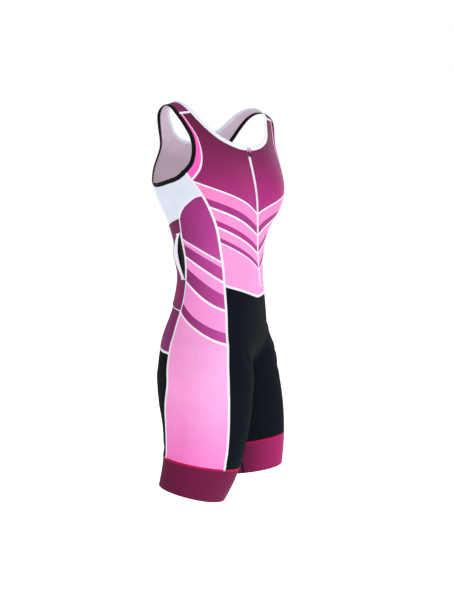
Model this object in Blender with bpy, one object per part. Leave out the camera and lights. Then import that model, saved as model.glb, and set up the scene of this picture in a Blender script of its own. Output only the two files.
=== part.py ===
"""A sleeveless women's triathlon suit with a front zip, in the hollow form and stance it is worn in.

Metres, +Z up. The chest faces -Y and the wearer's left is +X. Height 0 is the top of the shoulder
straps, where the wearer's shoulders hold the suit up.

Every cloth piece is a patch of one smooth form. A spot on the form is an angle and a height: the
angle runs in degrees from the middle of the front, round the side, to the middle of the back, and
below the crotch on to the inner side of the leg. The seams are lines of such spots. They are
written once, for the wearer's right half, and the pieces that meet at a seam share its spots.
"""

from math import atan2, degrees, radians, tan

import bmesh
import bpy
import numpy as np
from mathutils import Matrix, Vector

for old in list(bpy.data.objects):
    bpy.data.objects.remove(old)

# ---- driving dimensions, metres ----
CLOTH = 0.0015  # wall of a cloth panel
SEAM_GAP = 0.0003  # between pieces that are sewn together
BAND_WIDTH = 0.009  # neck and armhole binding
BAND_WALL = 0.0024
BAND_PROUD = 0.00045  # how far a binding stands out of the cloth
POCKET_LIFT = CLOTH + SEAM_GAP  # outer face of the pocket panel over that of the panel under it
ZIP_WIDTH = 0.0055
ZIP_SLOT = ZIP_WIDTH / 2 + 0.0006  # the fronts and the neck binding end this far from the middle
ZIP_PROUD = 0.0006
ZIP_END = -0.385  # height of the zip's lower end
ZIP_END_STEP = 0.003  # below it the two fronts are sewn to each other
SLIDER_HEIGHT = -0.1015
SLIDER_SIZE = (0.0072, 0.0110, 0.0027)  # across, along the zip, out of it
SLIDER_CLEAR = 0.0003 + ZIP_PROUD
SLIDER_EDGE = 0.0006  # its rounded edges
ZIP_PROBE = 0.002  # along the zip, to find its direction at the slider
CROWN_WIDTH = 0.0020  # the slider's bridge, which the pull tab turns in
CROWN_LENGTH = 0.0060
CROWN_HEIGHT = 0.0030
CROWN_BAR = 0.0010
CROWN_TOP = 0.0009
CROWN_SUNK = 0.0005  # the bridge's feet reach this far into the slider
HINGE_OUT = 0.0047  # the pull tab's axis, out from the form
PULL_WIDTH = 0.0048
PULL_LENGTH = 0.0130
PULL_THICKNESS = 0.0011
PULL_HOLE = (0.0029, 0.0039)  # width, and how far it reaches from the axis
CROTCH = -0.595
LEG_BAND_TOP = -0.752
HEM = -0.820
LEG_X = 0.088  # middle of a leg from the middle of the body
LEGS_APART = 0.0004  # half the gap between the two inner legs at the crotch seam
LEGS_APART_SLOPE = 0.3
LEGS_APART_MOST = 0.006

# steps along the seams: pieces that meet have the same number
FRONT_STEPS = 8
NECK_BACK_STEPS = 9
BACK_STEPS = 4  # middle of the back to the seam between underarm and back
UNDER_BACK_STEPS = 5  # from there to the side panel
SIDE_STEPS = 7
SHOULDER_STEPS = 2
ARMHOLE_FRONT_STEPS = 6
ARMHOLE_BACK_STEPS = 10
UNDERARM_STEPS = 4
WAIST_ROWS = 10  # curved seam to waist seam
POCKET_ROWS = 10
LOWER_BACK_ROWS = 4
RISE_ROWS = 8  # waist seam to crotch at the front
SEAT_ROWS = 4  # seat seam to crotch at the back
CROTCH_STEPS = 4  # each way from the crotch point to where the body seam rises
CROTCH_LEVEL = -0.604  # height of the crotch's row at the side seams
INSEAM_ROWS = 7
LEG_BAND_ROWS = 4
EVEN_FROM = 90  # steps of a line before its steps are evened

ALIKE = 0.7  # two edges whose cosine is above this have no corner between them


def sections(columns, rows):
    """A short table as one array a column, in rising order of its first column."""
    values = np.array(sorted(rows), float)
    return {name: values[:, i] for i, name in enumerate(columns.split())}


BODY = sections("height half_breadth front_depth back_depth", [
    (-0.030, 0.120, 0.064, 0.082),
    (-0.080, 0.143, 0.087, 0.101),
    (-0.130, 0.157, 0.099, 0.122),
    (-0.190, 0.148, 0.101, 0.114),
    (-0.250, 0.128, 0.099, 0.092),
    (-0.310, 0.115, 0.093, 0.083),
    (-0.370, 0.119, 0.094, 0.082),
    (-0.430, 0.139, 0.098, 0.094),
    (-0.490, 0.157, 0.100, 0.116),
    (-0.545, 0.165, 0.096, 0.127),
    (-0.610, 0.152, 0.077, 0.108),
])
THIGH = sections("height half_breadth half_depth middle_x middle_y", [
    (-0.490, 0.066, 0.079, 0.090, -0.003),
    (-0.550, 0.079, 0.103, 0.090, 0.002),
    (-0.610, 0.081, 0.103, 0.088, 0.000),
    (-0.690, 0.075, 0.092, 0.088, -0.007),
    (-0.760, 0.070, 0.082, 0.089, -0.005),
    (-0.830, 0.065, 0.071, 0.093, 0.002),
])
BODY_SQUARENESS = 2.25  # 2 is an ellipse
THIGH_SQUARENESS = 2.1
BODY_CLOSES = (-0.555, -0.635)  # heights over which the body's breadth closes between the legs
BODY_SHALLOWS = (-0.490, -0.635)  # and its depth
SHOULDERS_CLOSE = (-0.065, 0.020)  # and its upper end, inside the shoulders
CUP_MIDDLE = (0.061, -0.058, -0.184)  # the front's ease over the bust, one soft swell each side
CUP_RADII = (0.056, 0.053, 0.055)
SHOULDER_INNER = (0.045, 0.010, -0.018)  # the rounded bar that a strap lies over
SHOULDER_OUTER = (0.165, 0.014, -0.054)
SHOULDER_RADIUS = 0.042
BLEND = 0.050  # how widely the swells run into the body
THIGH_BLEND = 0.025

FAN_FROM = -0.150  # above this height, spots fan out from one point up over the shoulder
FAN_RADIUS = 0.120
MIDDLE_Y = 0.010  # spots are seen from this depth in the body, and from 0 in the leg
MIDDLE_MOVES = (-0.410, -0.590)  # over these heights it moves from the body's middle to the leg's
REACH = 0.35

# the stance: hips turned from the shoulders, left leg forward, right leg a little back
TWIST = radians(31)
TWIST_HEIGHTS = (-0.090, -0.420)
HIP_BEND = (-0.490, 0.120)  # height where the bend begins, and its length
HIP_ANGLE = {"left": radians(11), "right": radians(-4.2)}
KNEE_BEND = (-0.710, 0.080)
KNEE_ANGLE = {"left": radians(-2.5), "right": radians(-8)}
HIP_DROP = tan(radians(5.5))  # right hip lower than the left
HIP_DROP_HEIGHTS = (-0.320, -0.440)
LEGS_SPLAY = tan(radians(2.2))
LEGS_PART = (-0.575, -0.695)  # below this the legs move by themselves

# seams of the right half
SIDE_FRONT = sections("height angle", [
    (-0.149, 68), (-0.190, 60.5), (-0.240, 57.5), (-0.330, 60), (-0.420, 63), (-0.470, 60),
    (-0.520, 53.5), (-0.575, 44), (-0.630, 40), (-0.690, 36.5), (-0.752, 34),
])
SIDE_BACK = sections("height angle", [
    (-0.242, 92), (-0.290, 99.5), (-0.330, 101.5), (-0.375, 104.5), (-0.424, 107.5), (-0.460, 113),
    (-0.510, 122), (-0.560, 131), (-0.620, 138), (-0.690, 144), (-0.752, 143),
])
NECK = sections("angle height", [
    (0, -0.0930), (12, -0.0920), (26, -0.0870), (38, -0.0800), (49, -0.0700), (60, -0.0590),
    (69, -0.0515), (80, -0.0440), (92, -0.0400), (106, -0.0410), (122, -0.0480), (140, -0.0570),
    (160, -0.0650), (180, -0.0680),
])
ARMHOLE = [  # angle, height: up the front, over the shoulder, down the back and under the arm
    (68, -0.1490), (61.5, -0.1330), (59.5, -0.1100), (62, -0.0870), (68, -0.0720), (75, -0.0615),
    (84, -0.0520), (96, -0.0490), (108, -0.0550), (119, -0.0690), (129, -0.0890), (134, -0.1130),
    (133, -0.1390), (126, -0.1600), (115, -0.1720), (101, -0.1750), (86, -0.1690), (76, -0.1620),
]
ARMHOLE_SHOULDER = 5  # the row where the shoulder seam meets the armhole
ARMHOLE_BACK = 13  # and the row of the seam between underarm and back
SHOULDER_NECK_ANGLE = 69
WAIST = sections("angle height", [
    (0, -0.407), (15, -0.406), (30, -0.398), (45, -0.388), (63, -0.377),
])
UNDERARM_CURVE = sections("angle height", [
    (60.3, -0.193), (66.5, -0.197), (74, -0.207), (81.5, -0.218), (88, -0.231), (92, -0.242),
])
UNDER_BACK = sections("angle height", [
    (92, -0.242), (101, -0.247), (112, -0.253), (140, -0.262), (180, -0.268),
])
BACK_SEAM_FOOT = 140
POCKET_FOOT = sections("angle height", [(107.5, -0.424), (134, -0.420), (180, -0.419)])
SEAT = sections("angle height", [(122, -0.511), (144, -0.510), (180, -0.506)])
# rows of the back waist panel and the pocket on it, which keep their order: side seam height, and the
# angles of the front and rear edges of the band round the pocket's mouth
MOUTH_ROWS = [
    (-0.242, 94.0, 98.0), (-0.257, 97.0, 101.0), (-0.272, 99.5, 104.5), (-0.287, 106.0, 112.0),
    (-0.303, 110.5, 117.5), (-0.319, 112.5, 119.5), (-0.335, 112.5, 119.5), (-0.351, 110.0, 116.5),
    (-0.367, 106.3, 111.3), (-0.396, 107.8, 112.0), (-0.424, 109.5, 113.0),
]
MOUTH = dict(zip(("height", "front", "rear"), np.array(MOUTH_ROWS).T))
MOUTH_FROM, MOUTH_TO = 2, 8  # rows between which the pocket is open
MOUTH_GAPES = 0.0070  # how far the rear edge of the band stands off in its middle
GAPE_SHARES = (0.4, 1, 0.6)  # of that, at the band's front edge, its rear edge and one step on

COLOURS = {
    "plum_print": ("#8b2a66", 0.45),
    "side_print": ("#f07ccb", 0.45),
    "white_cloth": ("#e6eaf6", 0.55),
    "maroon_cloth": ("#6e1e4c", 0.45),
    "plum_cloth": ("#7c2a63", 0.45),
    "black_cloth": ("#14181f", 0.55),
    "band_elastic": ("#8a2158", 0.60),
    "white_binding": ("#eef1f8", 0.60),
    "black_binding": ("#101114", 0.60),
    "zip_white": ("#f4f5f7", 0.40),
    "slider_black": ("#15161a", 0.30),
    "pull_pink": ("#ff5fc0", 0.50),
}


# ---- the form ----
def at(table, column, where):
    """The table's column at a value of its first column, on a smooth line through its rows."""
    keys = next(iter(table.values()))
    values = table[column]
    slopes = np.gradient(values, keys)
    where = np.clip(where, keys[0], keys[-1])
    i = np.clip(np.searchsorted(keys, where) - 1, 0, len(keys) - 2)
    span = keys[i + 1] - keys[i]
    t = (where - keys[i]) / span
    start = (2 * t**3 - 3 * t**2 + 1) * values[i] + (t**3 - 2 * t**2 + t) * span * slopes[i]
    end = (3 * t**2 - 2 * t**3) * values[i + 1] + (t**3 - t**2) * span * slopes[i + 1]
    return start + end


def ease(value, start=0.0, end=1.0):
    """0 before start, 1 after end and smooth between."""
    t = np.clip((value - start) / (end - start), 0, 1)
    return t * t * (3 - 2 * t)


def joined(a, b, blend):
    """The smaller of two distances, rounded over where they are alike."""
    share = np.clip(0.5 + 0.5 * (b - a) / blend, 0, 1)
    return b * (1 - share) + a * share - blend * share * (1 - share)


def outside_oval(x, y, half_breadth, front, back, squareness):
    depth = np.where(y < 0, front, back)
    size = (np.abs(x / half_breadth) ** squareness + np.abs(y / depth) ** squareness) ** (1 / squareness)
    return (size - 1) * np.sqrt(half_breadth * depth)


def form(x, y, z):
    """Below 0 inside the form and above it outside. x is the distance from the middle."""
    low, shallow, high = (np.clip((z - a) / (b - a), 0, 0.998)
                          for a, b in (BODY_CLOSES, BODY_SHALLOWS, SHOULDERS_CLOSE))
    narrow, flat = np.sqrt((1 - low**2) * (1 - high**2)), (1 - shallow**2) * np.sqrt(1 - high**2)
    columns = [at(BODY, name, z) * share for name, share in
               (("half_breadth", narrow), ("front_depth", flat), ("back_depth", flat))]
    beyond = np.clip(BODY_CLOSES[1] - z, 0, 1) + np.clip(z - SHOULDERS_CLOSE[1], 0, 1)
    body = outside_oval(x, y, *columns, BODY_SQUARENESS) + 8 * beyond

    offsets = [(p - m) / r for p, m, r in zip((x, y, z), CUP_MIDDLE, CUP_RADII)]
    cup = (np.sqrt(sum(o**2 for o in offsets)) - 1) * CUP_RADII[1]
    body = joined(body, cup, BLEND)

    bar = [b - a for a, b in zip(SHOULDER_INNER, SHOULDER_OUTER)]
    start = [p - a for p, a in zip((x, y, z), SHOULDER_INNER)]
    share = np.clip(sum(s * b for s, b in zip(start, bar)) / sum(b * b for b in bar), 0, 1)
    shoulder = np.sqrt(sum((s - share * b) ** 2 for s, b in zip(start, bar))) - SHOULDER_RADIUS
    body = joined(body, shoulder, BLEND)

    depth = at(THIGH, "half_depth", z)
    thigh = outside_oval(x - at(THIGH, "middle_x", z), y - at(THIGH, "middle_y", z),
                         at(THIGH, "half_breadth", z), depth, depth, THIGH_SQUARENESS)
    return joined(body, thigh + np.clip(z - HIP_BEND[0], 0, 1), THIGH_BLEND)


def legs_apart(height):
    """The inner face of a leg keeps this far from the middle; above the crotch it reaches it."""
    below = np.clip(LEGS_APART + LEGS_APART_SLOPE * (CROTCH - height), LEGS_APART, LEGS_APART_MOST)
    return np.where(height <= CROTCH + 1e-9, below, 0.0)


def eye(height):
    """x and y that a height's spots are seen from."""
    share = ease(-height, -MIDDLE_MOVES[0], -MIDDLE_MOVES[1])
    return LEG_X * share, MIDDLE_Y * (1 - share)


def on_form(spots):
    """Points of the right half, unposed, with x as the distance from the middle."""
    angle, height = radians(1) * spots[..., 0], spots[..., 1]
    level = np.minimum(height, FAN_FROM)
    rise = (np.maximum(height, FAN_FROM) - FAN_FROM) / FAN_RADIUS
    start = np.stack([*eye(level), level], -1)
    way = np.stack([np.sin(angle) * np.cos(rise), -np.cos(angle) * np.cos(rise), np.sin(rise)], -1)
    inward = np.minimum(way[..., 0], -1e-9)
    stopped = (way[..., 0] < -1e-9) & (level < MIDDLE_MOVES[0])
    far = np.where(stopped, (legs_apart(level) - start[..., 0]) / inward, REACH)
    near, far = np.zeros_like(far), np.clip(far, 0, REACH)
    for _ in range(30):
        middle = (near + far) / 2
        x, y, z = np.moveaxis(start + way * middle[..., None], -1, 0)
        inside = form(np.abs(x), y, z) < 0
        near = np.where(inside, middle, near)
        far = np.where(inside, far, middle)
    return start + way * near[..., None]


def outward(points):
    """The form's outward direction at unposed points."""
    step = 1e-4
    slopes = []
    for axis in range(3):
        move = np.zeros(3)
        move[axis] = step
        ahead, behind = np.moveaxis(points + move, -1, 0), np.moveaxis(points - move, -1, 0)
        slopes.append(form(np.abs(ahead[0]), *ahead[1:]) - form(np.abs(behind[0]), *behind[1:]))
    direction = np.stack(slopes, -1)
    held = np.abs(points[..., 0] - legs_apart(points[..., 2])) < 1e-5
    inner_leg = held & (points[..., 2] <= CROTCH + 1e-6)
    direction = np.where(inner_leg[..., None], np.array([-1.0, 0.0, 0.0]), direction)
    return direction / np.linalg.norm(direction, axis=-1, keepdims=True)


# ---- the stance ----
def bent(points, bend, angle):
    """What lies below a height turned forward by angle, along an arc."""
    top, length = bend
    depth = np.clip(top - points[..., 2], 0, None)
    turn = angle * np.clip(depth / length, 0, 1)
    rest = np.clip(depth - length, 0, None)
    forward = length / angle * (1 - np.cos(turn)) + rest * np.sin(angle)
    down = length / angle * np.sin(turn) + rest * np.cos(angle)
    y = points[..., 1] * np.cos(turn) - forward
    z = np.where(depth > 0, top - down - points[..., 1] * np.sin(turn), points[..., 2])
    return np.stack([points[..., 0], y, z], -1)


def left_share(points):
    """0 where a point moves with the right leg, 1 with the left, and smooth across the body."""
    width = 0.002 + 0.090 * ease(points[..., 2], CROTCH - 0.080, CROTCH + 0.140)
    return ease(points[..., 0] / width, -1, 1)


def posed(points, share):
    """Points in the stance. -x is the wearer's right."""
    legs = [bent(bent(points, KNEE_BEND, KNEE_ANGLE[s]), HIP_BEND, HIP_ANGLE[s]) for s in ("right", "left")]
    moved = legs[0] * (1 - share[..., None]) + legs[1] * share[..., None]
    x, height = points[..., 0], points[..., 2]
    alone = ease(-height, -LEGS_PART[0], -LEGS_PART[1])
    side = 2 * share - 1
    dropped = ease(-height, -HIP_DROP_HEIGHTS[0], -HIP_DROP_HEIGHTS[1])
    moved[..., 2] += HIP_DROP * dropped * (x * (1 - alone) + LEG_X * side * alone)
    moved[..., 2] += LEGS_SPLAY * alone * (np.abs(x) - LEG_X)
    moved[..., 0] += LEGS_SPLAY * side * np.clip(CROTCH - height, 0, None)
    turn = TWIST * ease(-height, -TWIST_HEIGHTS[0], -TWIST_HEIGHTS[1])
    turned_x = moved[..., 0] * np.cos(turn) - moved[..., 1] * np.sin(turn)
    turned_y = moved[..., 0] * np.sin(turn) + moved[..., 1] * np.cos(turn)
    return np.stack([turned_x, turned_y, moved[..., 2]], -1)


def surface(spots, side):
    """Posed points and outward directions of spots, side -1 for the right half and 1 for the left."""
    points = on_form(spots)
    normals = outward(points)
    points[..., 0] *= side
    normals[..., 0] *= side
    helper = np.where(np.abs(normals[..., 2:]) < 0.7, np.array([0.0, 0.0, 1.0]), np.array([1.0, 0.0, 0.0]))
    first = np.cross(helper, normals)
    second = np.cross(normals, first)
    share = left_share(points)
    step = 1e-5
    placed = posed(points, share)
    across = posed(points + step * first, share) - placed
    along = posed(points + step * second, share) - placed
    normals = np.cross(across, along)
    return placed, normals / np.linalg.norm(normals, axis=-1, keepdims=True)


# ---- lines of spots ----
def line(start, end, steps):
    return np.linspace(start, end, steps + 1)


def by_height(table, top, bottom, steps):
    heights = np.linspace(top, bottom, steps + 1)
    return np.stack([at(table, "angle", heights), heights], -1)


def by_angle(table, start, end, steps):
    angles = np.linspace(start, end, steps + 1)
    return np.stack([angles, at(table, "height", angles)], -1)


def on_line(table, first, last, steps):
    """Spots at the angles listed first, and from there on in even steps to the last."""
    rest = np.linspace(first[-1], last, steps - len(first) + 2)
    angles = np.concatenate([first, rest[1:]])
    return np.stack([angles, at(table, "height", angles)], -1)


def evened(spots, steps):
    """The same line with steps of one length on the form."""
    points = on_form(spots)
    lengths = np.concatenate([[0], np.cumsum(np.linalg.norm(np.diff(points, axis=0), axis=1))])
    marks = np.linspace(0, lengths[-1], steps + 1)
    return np.stack([np.interp(marks, lengths, spots[:, i]) for i in range(2)], -1)


def round_armhole(first, last, steps):
    """Part of the armhole, a closed smooth line through its rows, from one row to another."""
    rows = np.array(ARMHOLE, float)
    count = len(rows)
    last += count * (last <= first)
    where = np.linspace(first, last, 12 * (last - first) + 1)
    row = np.floor(where).astype(int)
    t = (where - row)[:, None]
    before, here, after, beyond = (rows[(row + i) % count] for i in (-1, 0, 1, 2))
    smooth = 0.5 * (2 * here + (after - before) * t
                    + (2 * before - 5 * here + 4 * after - beyond) * t**2
                    + (3 * here - before - 3 * after + beyond) * t**3)
    return evened(smooth, steps)


def chained(*lines):
    return np.concatenate([lines[0]] + [part[1:] for part in lines[1:]])


def beside(spots, width, closed=False):
    """The line moved sideways on the form by width, or by a width a spot.

    Sideways is to the left of its way as seen in angle and height.
    """
    step_angle, step_height = 0.01, 1e-5
    by_one_angle, by_one_height = ((on_form(spots + step) - on_form(spots - step)) / (2 * max(step))
                                   for step in ([step_angle, 0], [0, step_height]))
    e, f, g = ((a * b).sum(-1) for a, b in ((by_one_angle, by_one_angle), (by_one_angle, by_one_height),
                                            (by_one_height, by_one_height)))
    if closed:
        way = np.roll(spots, -1, 0) - np.roll(spots, 1, 0)
    else:
        way = np.gradient(spots, axis=0)
    length = np.sqrt(e * way[:, 0] ** 2 + 2 * f * way[:, 0] * way[:, 1] + g * way[:, 1] ** 2)
    across = np.stack([-(f * way[:, 0] + g * way[:, 1]), e * way[:, 0] + f * way[:, 1]], -1)
    return spots + across * (width / (np.sqrt(e * g - f * f) * length))[:, None]


def patch(left, right, top, bottom):
    """A grid of spots filled in between four lines, rows from top to bottom."""
    s = np.linspace(0, 1, len(top))[None, :, None]
    t = np.linspace(0, 1, len(left))[:, None, None]
    between_ends = (1 - t) * top[None] + t * bottom[None]
    between_sides = (1 - s) * left[:, None] + s * right[:, None]
    corners = ((1 - s) * (1 - t) * top[0] + s * (1 - t) * top[-1]
               + (1 - s) * t * bottom[0] + s * t * bottom[-1])
    return between_ends + between_sides - corners


# ---- meshes ----
def linear(code):
    values = [int(code[i:i + 2], 16) / 255 for i in (1, 3, 5)]
    return [v / 12.92 if v <= 0.04045 else ((v + 0.055) / 1.055) ** 2.4 for v in values]


def material(name):
    made = bpy.data.materials.get(name)
    if made is None:
        made = bpy.data.materials.new(name)
        made.use_nodes = True
        shader = made.node_tree.nodes["Principled BSDF"]
        code, roughness = COLOURS[name]
        shader.inputs["Base Color"].default_value = (*linear(code), 1)
        shader.inputs["Roughness"].default_value = roughness
    return made


def add_object(name, mesh, finish):
    bm = bmesh.new()
    bm.from_mesh(mesh)
    bmesh.ops.recalc_face_normals(bm, faces=bm.faces)
    bm.to_mesh(mesh)
    bm.free()
    mesh.materials.append(material(finish))
    mesh.shade_smooth()
    made = bpy.data.objects.new(name, mesh)
    bpy.context.scene.collection.objects.link(made)
    return made


def drawn_in(points, normals, edges, gaps):
    """The points moved in along the surface from the border's edges, each edge by its own gap.

    edges are the border's, with the surface on their left. gaps has a value a point, and an edge
    between two of them has the smaller one.
    """
    moved = points.copy()
    before = {b: a for a, b in edges}
    for point, after in edges:
        inwards, widths = [], []
        for a, b in ((before[point], point), (point, after)):
            inward = np.cross(normals[point], points[b] - points[a])
            inwards.append(inward / np.linalg.norm(inward))
            widths.append(min(gaps[a], gaps[b]))
        alike = inwards[0] @ inwards[1]
        if alike > ALIKE:
            both = inwards[0] + inwards[1]
            moved[point] += both / np.linalg.norm(both) * gaps[point]
        else:
            for inward, width, other in zip(inwards, widths, widths[::-1]):
                moved[point] += inward * (width - alike * other) / (1 - alike**2)
    return moved


def wall(name, finish, sheets, out=0.0, thickness=CLOTH, gap=SEAM_GAP / 2, closed=False, joined_from=0,
         cells=None):
    """A closed solid: the surface of one or two sheets moved out, and the wall under it.

    A sheet is the points and outward directions of a grid. out and gap are one value or one a
    point. closed joins the last column to the first one. Two sheets have their last columns in
    common, from the row joined_from down. cells tells which of a sheet's cells are there.
    """
    rows, columns = sheets[0][0].shape[:2]
    points, normals = (np.concatenate([sheet[i].reshape(-1, 3) for sheet in sheets]) for i in (0, 1))
    out, gap = (np.tile(np.broadcast_to(value, (rows, columns)).reshape(-1), len(sheets))[:, None]
                for value in (out, gap))
    index = np.arange(len(points)).reshape(len(sheets), rows, columns)
    if len(sheets) == 2:
        index[1, joined_from:, -1] = index[0, joined_from:, -1]
    if closed:
        index = np.concatenate([index, index[:, :, :1]], axis=2)
    quads = np.stack([index[:, :-1, :-1], index[:, 1:, :-1], index[:, 1:, 1:], index[:, :-1, 1:]], -1)
    quads[1:] = quads[1:, ..., ::-1]
    if cells is not None:
        quads = quads[:, cells]
    triangles = quads.reshape(-1, 4)[:, [[0, 1, 2], [0, 2, 3]]].reshape(-1, 3)  # so that layers fold alike
    first, second, third = points[triangles.T]
    if (np.cross(second - first, third - first) * normals[triangles[:, 0]]).sum() < 0:
        triangles = triangles[:, ::-1]
    used, triangles = np.unique(triangles, return_inverse=True)
    points, normals, out, gap = (values[used] for values in (points, normals, out, gap))
    triangles = triangles.reshape(-1, 3)
    edges = {(int(t[i]), int(t[(i + 1) % 3])) for t in triangles for i in range(3)}
    border = [(a, b) for a, b in sorted(edges) if (b, a) not in edges]
    points = drawn_in(points, normals, border, gap[:, 0])
    below = len(points)
    rim = [(b, a, a + below, b + below) for a, b in border]
    mesh = bpy.data.meshes.new(name)
    layers = np.concatenate([points + normals * out, points + normals * (out - thickness)])
    mesh.from_pydata(layers.tolist(), [], triangles.tolist() + (triangles[:, ::-1] + below).tolist() + rim)
    return add_object(name, mesh, finish)


def both_halves(spots):
    """The sheets of a piece whose right half ends in the middle, and of its left half."""
    return [surface(spots, side) for side in (-1, 1)]


def pair(name, finish, spots, **options):
    """The same piece for each side."""
    for side, which in ((-1, "right"), (1, "left")):
        wall(f"{name}_{which}", finish, [surface(spots, side)], **options)


# ---- the seams, from top to bottom ----
def middle_angles(height):
    """Angles at which a height's form meets the middle, in front and behind."""
    x, y = eye(np.array(height))
    found = []
    for way in (-1, 1):
        near, far = 0.0, REACH
        for _ in range(40):
            probe = (near + far) / 2
            inside = form(np.array(0.0), y + way * probe, np.array(height)) < 0
            near, far = (probe, far) if inside else (near, probe)
        found.append(near)
    return -degrees(atan2(x, found[0])), 180 + degrees(atan2(x, found[1]))


def middle_line(which, top, bottom, steps):
    heights = np.linspace(top, bottom, steps + 1)
    return np.array([(middle_angles(h)[which] if h < MIDDLE_MOVES[0] else 180.0 * which, h) for h in heights])


def crotch_line(which):
    """From where the middle line ends at the crotch to the crotch point, between the legs."""
    start = middle_angles(CROTCH)[which]
    return line((start, CROTCH), (270 if which else -90, CROTCH), CROTCH_STEPS)


def inseam(start):
    return line(start, (start[0], LEG_BAND_TOP), INSEAM_ROWS)


def down_the_leg(table, top, rows):
    """A side seam, with a row for each of the middle line and of the inseam."""
    return chained(by_height(table, top, CROTCH_LEVEL, rows),
                   by_height(table, CROTCH_LEVEL, LEG_BAND_TOP, INSEAM_ROWS))


def leg_panel(side, middle, top, crotch, foot):
    """Spots and cells of a panel from the side seam to the middle, and below the crotch to the inseam."""
    rise = len(middle) - 1
    across = line(side[rise], middle[-1], len(top) - 1)
    upper = patch(side[:rise + 1], middle, top, across)
    lower = patch(side[rise:], inseam(crotch[-1]), chained(across, crotch), foot)
    no_leg = np.repeat(upper[:-1, -1:], CROTCH_STEPS, axis=1)
    spots = np.concatenate([np.concatenate([upper[:-1], no_leg], 1), lower])
    cells = np.ones((spots.shape[0] - 1, spots.shape[1] - 1), bool)
    cells[:rise, len(top) - 1:] = False
    return spots, cells


side_front_waist = WAIST["height"][-1]
neck_front = evened(by_angle(NECK, 0, SHOULDER_NECK_ANGLE, EVEN_FROM), FRONT_STEPS)
neck_back = evened(by_angle(NECK, SHOULDER_NECK_ANGLE, 180, EVEN_FROM), NECK_BACK_STEPS)
shoulder_seam = line(neck_front[-1], ARMHOLE[ARMHOLE_SHOULDER], SHOULDER_STEPS)
armhole_front = round_armhole(0, ARMHOLE_SHOULDER, ARMHOLE_FRONT_STEPS)
armhole_back = round_armhole(ARMHOLE_SHOULDER, ARMHOLE_BACK, ARMHOLE_BACK_STEPS)
armhole_under = round_armhole(ARMHOLE_BACK, 0, SIDE_STEPS + UNDER_BACK_STEPS)
side_front_top = by_height(SIDE_FRONT, ARMHOLE[0][1], UNDERARM_CURVE["height"][0], UNDERARM_STEPS)
side_front_middle = by_height(SIDE_FRONT, UNDERARM_CURVE["height"][0], side_front_waist, WAIST_ROWS)
side_front_leg = down_the_leg(SIDE_FRONT, side_front_waist, RISE_ROWS)
underarm_ends = UNDERARM_CURVE["angle"][[0, -1]]
underarm_curve = evened(by_angle(UNDERARM_CURVE, *underarm_ends, EVEN_FROM), SIDE_STEPS)
underarm_curve[0] = side_front_top[-1]
mouth_ends = [(MOUTH["front"][row], MOUTH["rear"][row]) for row in (0, -1)]
under_back_side = on_line(UNDER_BACK, [underarm_ends[1], *mouth_ends[0]], BACK_SEAM_FOOT, UNDER_BACK_STEPS)
under_back_middle = by_angle(UNDER_BACK, BACK_SEAM_FOOT, 180, BACK_STEPS)
back_seam = line(armhole_back[-1], under_back_side[-1], UNDERARM_STEPS)
back_steps = UNDER_BACK_STEPS + BACK_STEPS
pocket_foot = on_line(POCKET_FOOT, [POCKET_FOOT["angle"][0], *mouth_ends[1]], 180, back_steps)
seat_seam = by_angle(SEAT, SEAT["angle"][0], 180, back_steps)
side_back_top = np.stack([at(SIDE_BACK, "angle", MOUTH["height"]), MOUTH["height"]], -1)
side_back_middle = by_height(SIDE_BACK, POCKET_FOOT["height"][0], SEAT["height"][0], LOWER_BACK_ROWS)
seat_seam[0] = side_back_middle[-1]
side_back_leg = down_the_leg(SIDE_BACK, SEAT["height"][0], SEAT_ROWS)
waist_seam = evened(by_angle(WAIST, 0, WAIST["angle"][-1], EVEN_FROM), FRONT_STEPS)
waist_seam[-1] = side_front_middle[-1]
front_rows = SHOULDER_STEPS + ARMHOLE_FRONT_STEPS + UNDERARM_STEPS + WAIST_ROWS
zip_line = line((0, neck_front[0, 1]), (0, ZIP_END), front_rows - 2)
front_leg_foot = line(side_front_leg[-1], (-90, LEG_BAND_TOP), FRONT_STEPS + CROTCH_STEPS)
side_leg_foot = line(side_front_leg[-1], side_back_leg[-1], SIDE_STEPS)
back_leg_foot = line(side_back_leg[-1], (270, LEG_BAND_TOP), back_steps + CROTCH_STEPS)


# ---- the pieces ----
def fronts():
    """Each front has its strap's front part. Its middle edge leaves room for the zip."""
    outer = chained(shoulder_seam, armhole_front[::-1], side_front_top, side_front_middle)
    middle = chained(zip_line, line((0, ZIP_END), (0, ZIP_END - ZIP_END_STEP), 1),
                     line((0, ZIP_END - ZIP_END_STEP), (0, waist_seam[0, 1]), 1))
    slot = np.where(middle[:, 1] > ZIP_END - ZIP_END_STEP / 2, ZIP_SLOT, SEAM_GAP / 2)
    spots = patch(middle, outer, neck_front, waist_seam)
    gap = np.full(spots.shape[:2], SEAM_GAP / 2)
    gap[:, 0] = slot
    pair("front", "plum_print", spots, gap=gap)


def underarms():
    spots = patch(side_front_top, back_seam, armhole_under[::-1], chained(underarm_curve, under_back_side))
    pair("underarm", "white_cloth", spots)


def side_panels():
    spots = patch(chained(side_front_middle, side_front_leg),
                  chained(side_back_top, side_back_middle, side_back_leg), underarm_curve, side_leg_foot)
    pair("side_panel", "side_print", spots)


def upper_back():
    """Rows run down the straps from the shoulder seams, and across the back from where the neck ends."""
    outer = chained(armhole_back, back_seam)
    middle_rows = len(outer) - len(neck_back)
    middle = line((180, neck_back[-1, 1]), (180, under_back_middle[-1, 1]), middle_rows)
    across_strap = line(armhole_back[0], neck_back[0], BACK_STEPS)
    spots = patch(outer, chained(neck_back, middle), across_strap, under_back_middle)
    wall("upper_back", "plum_print", both_halves(spots), joined_from=NECK_BACK_STEPS)


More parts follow.
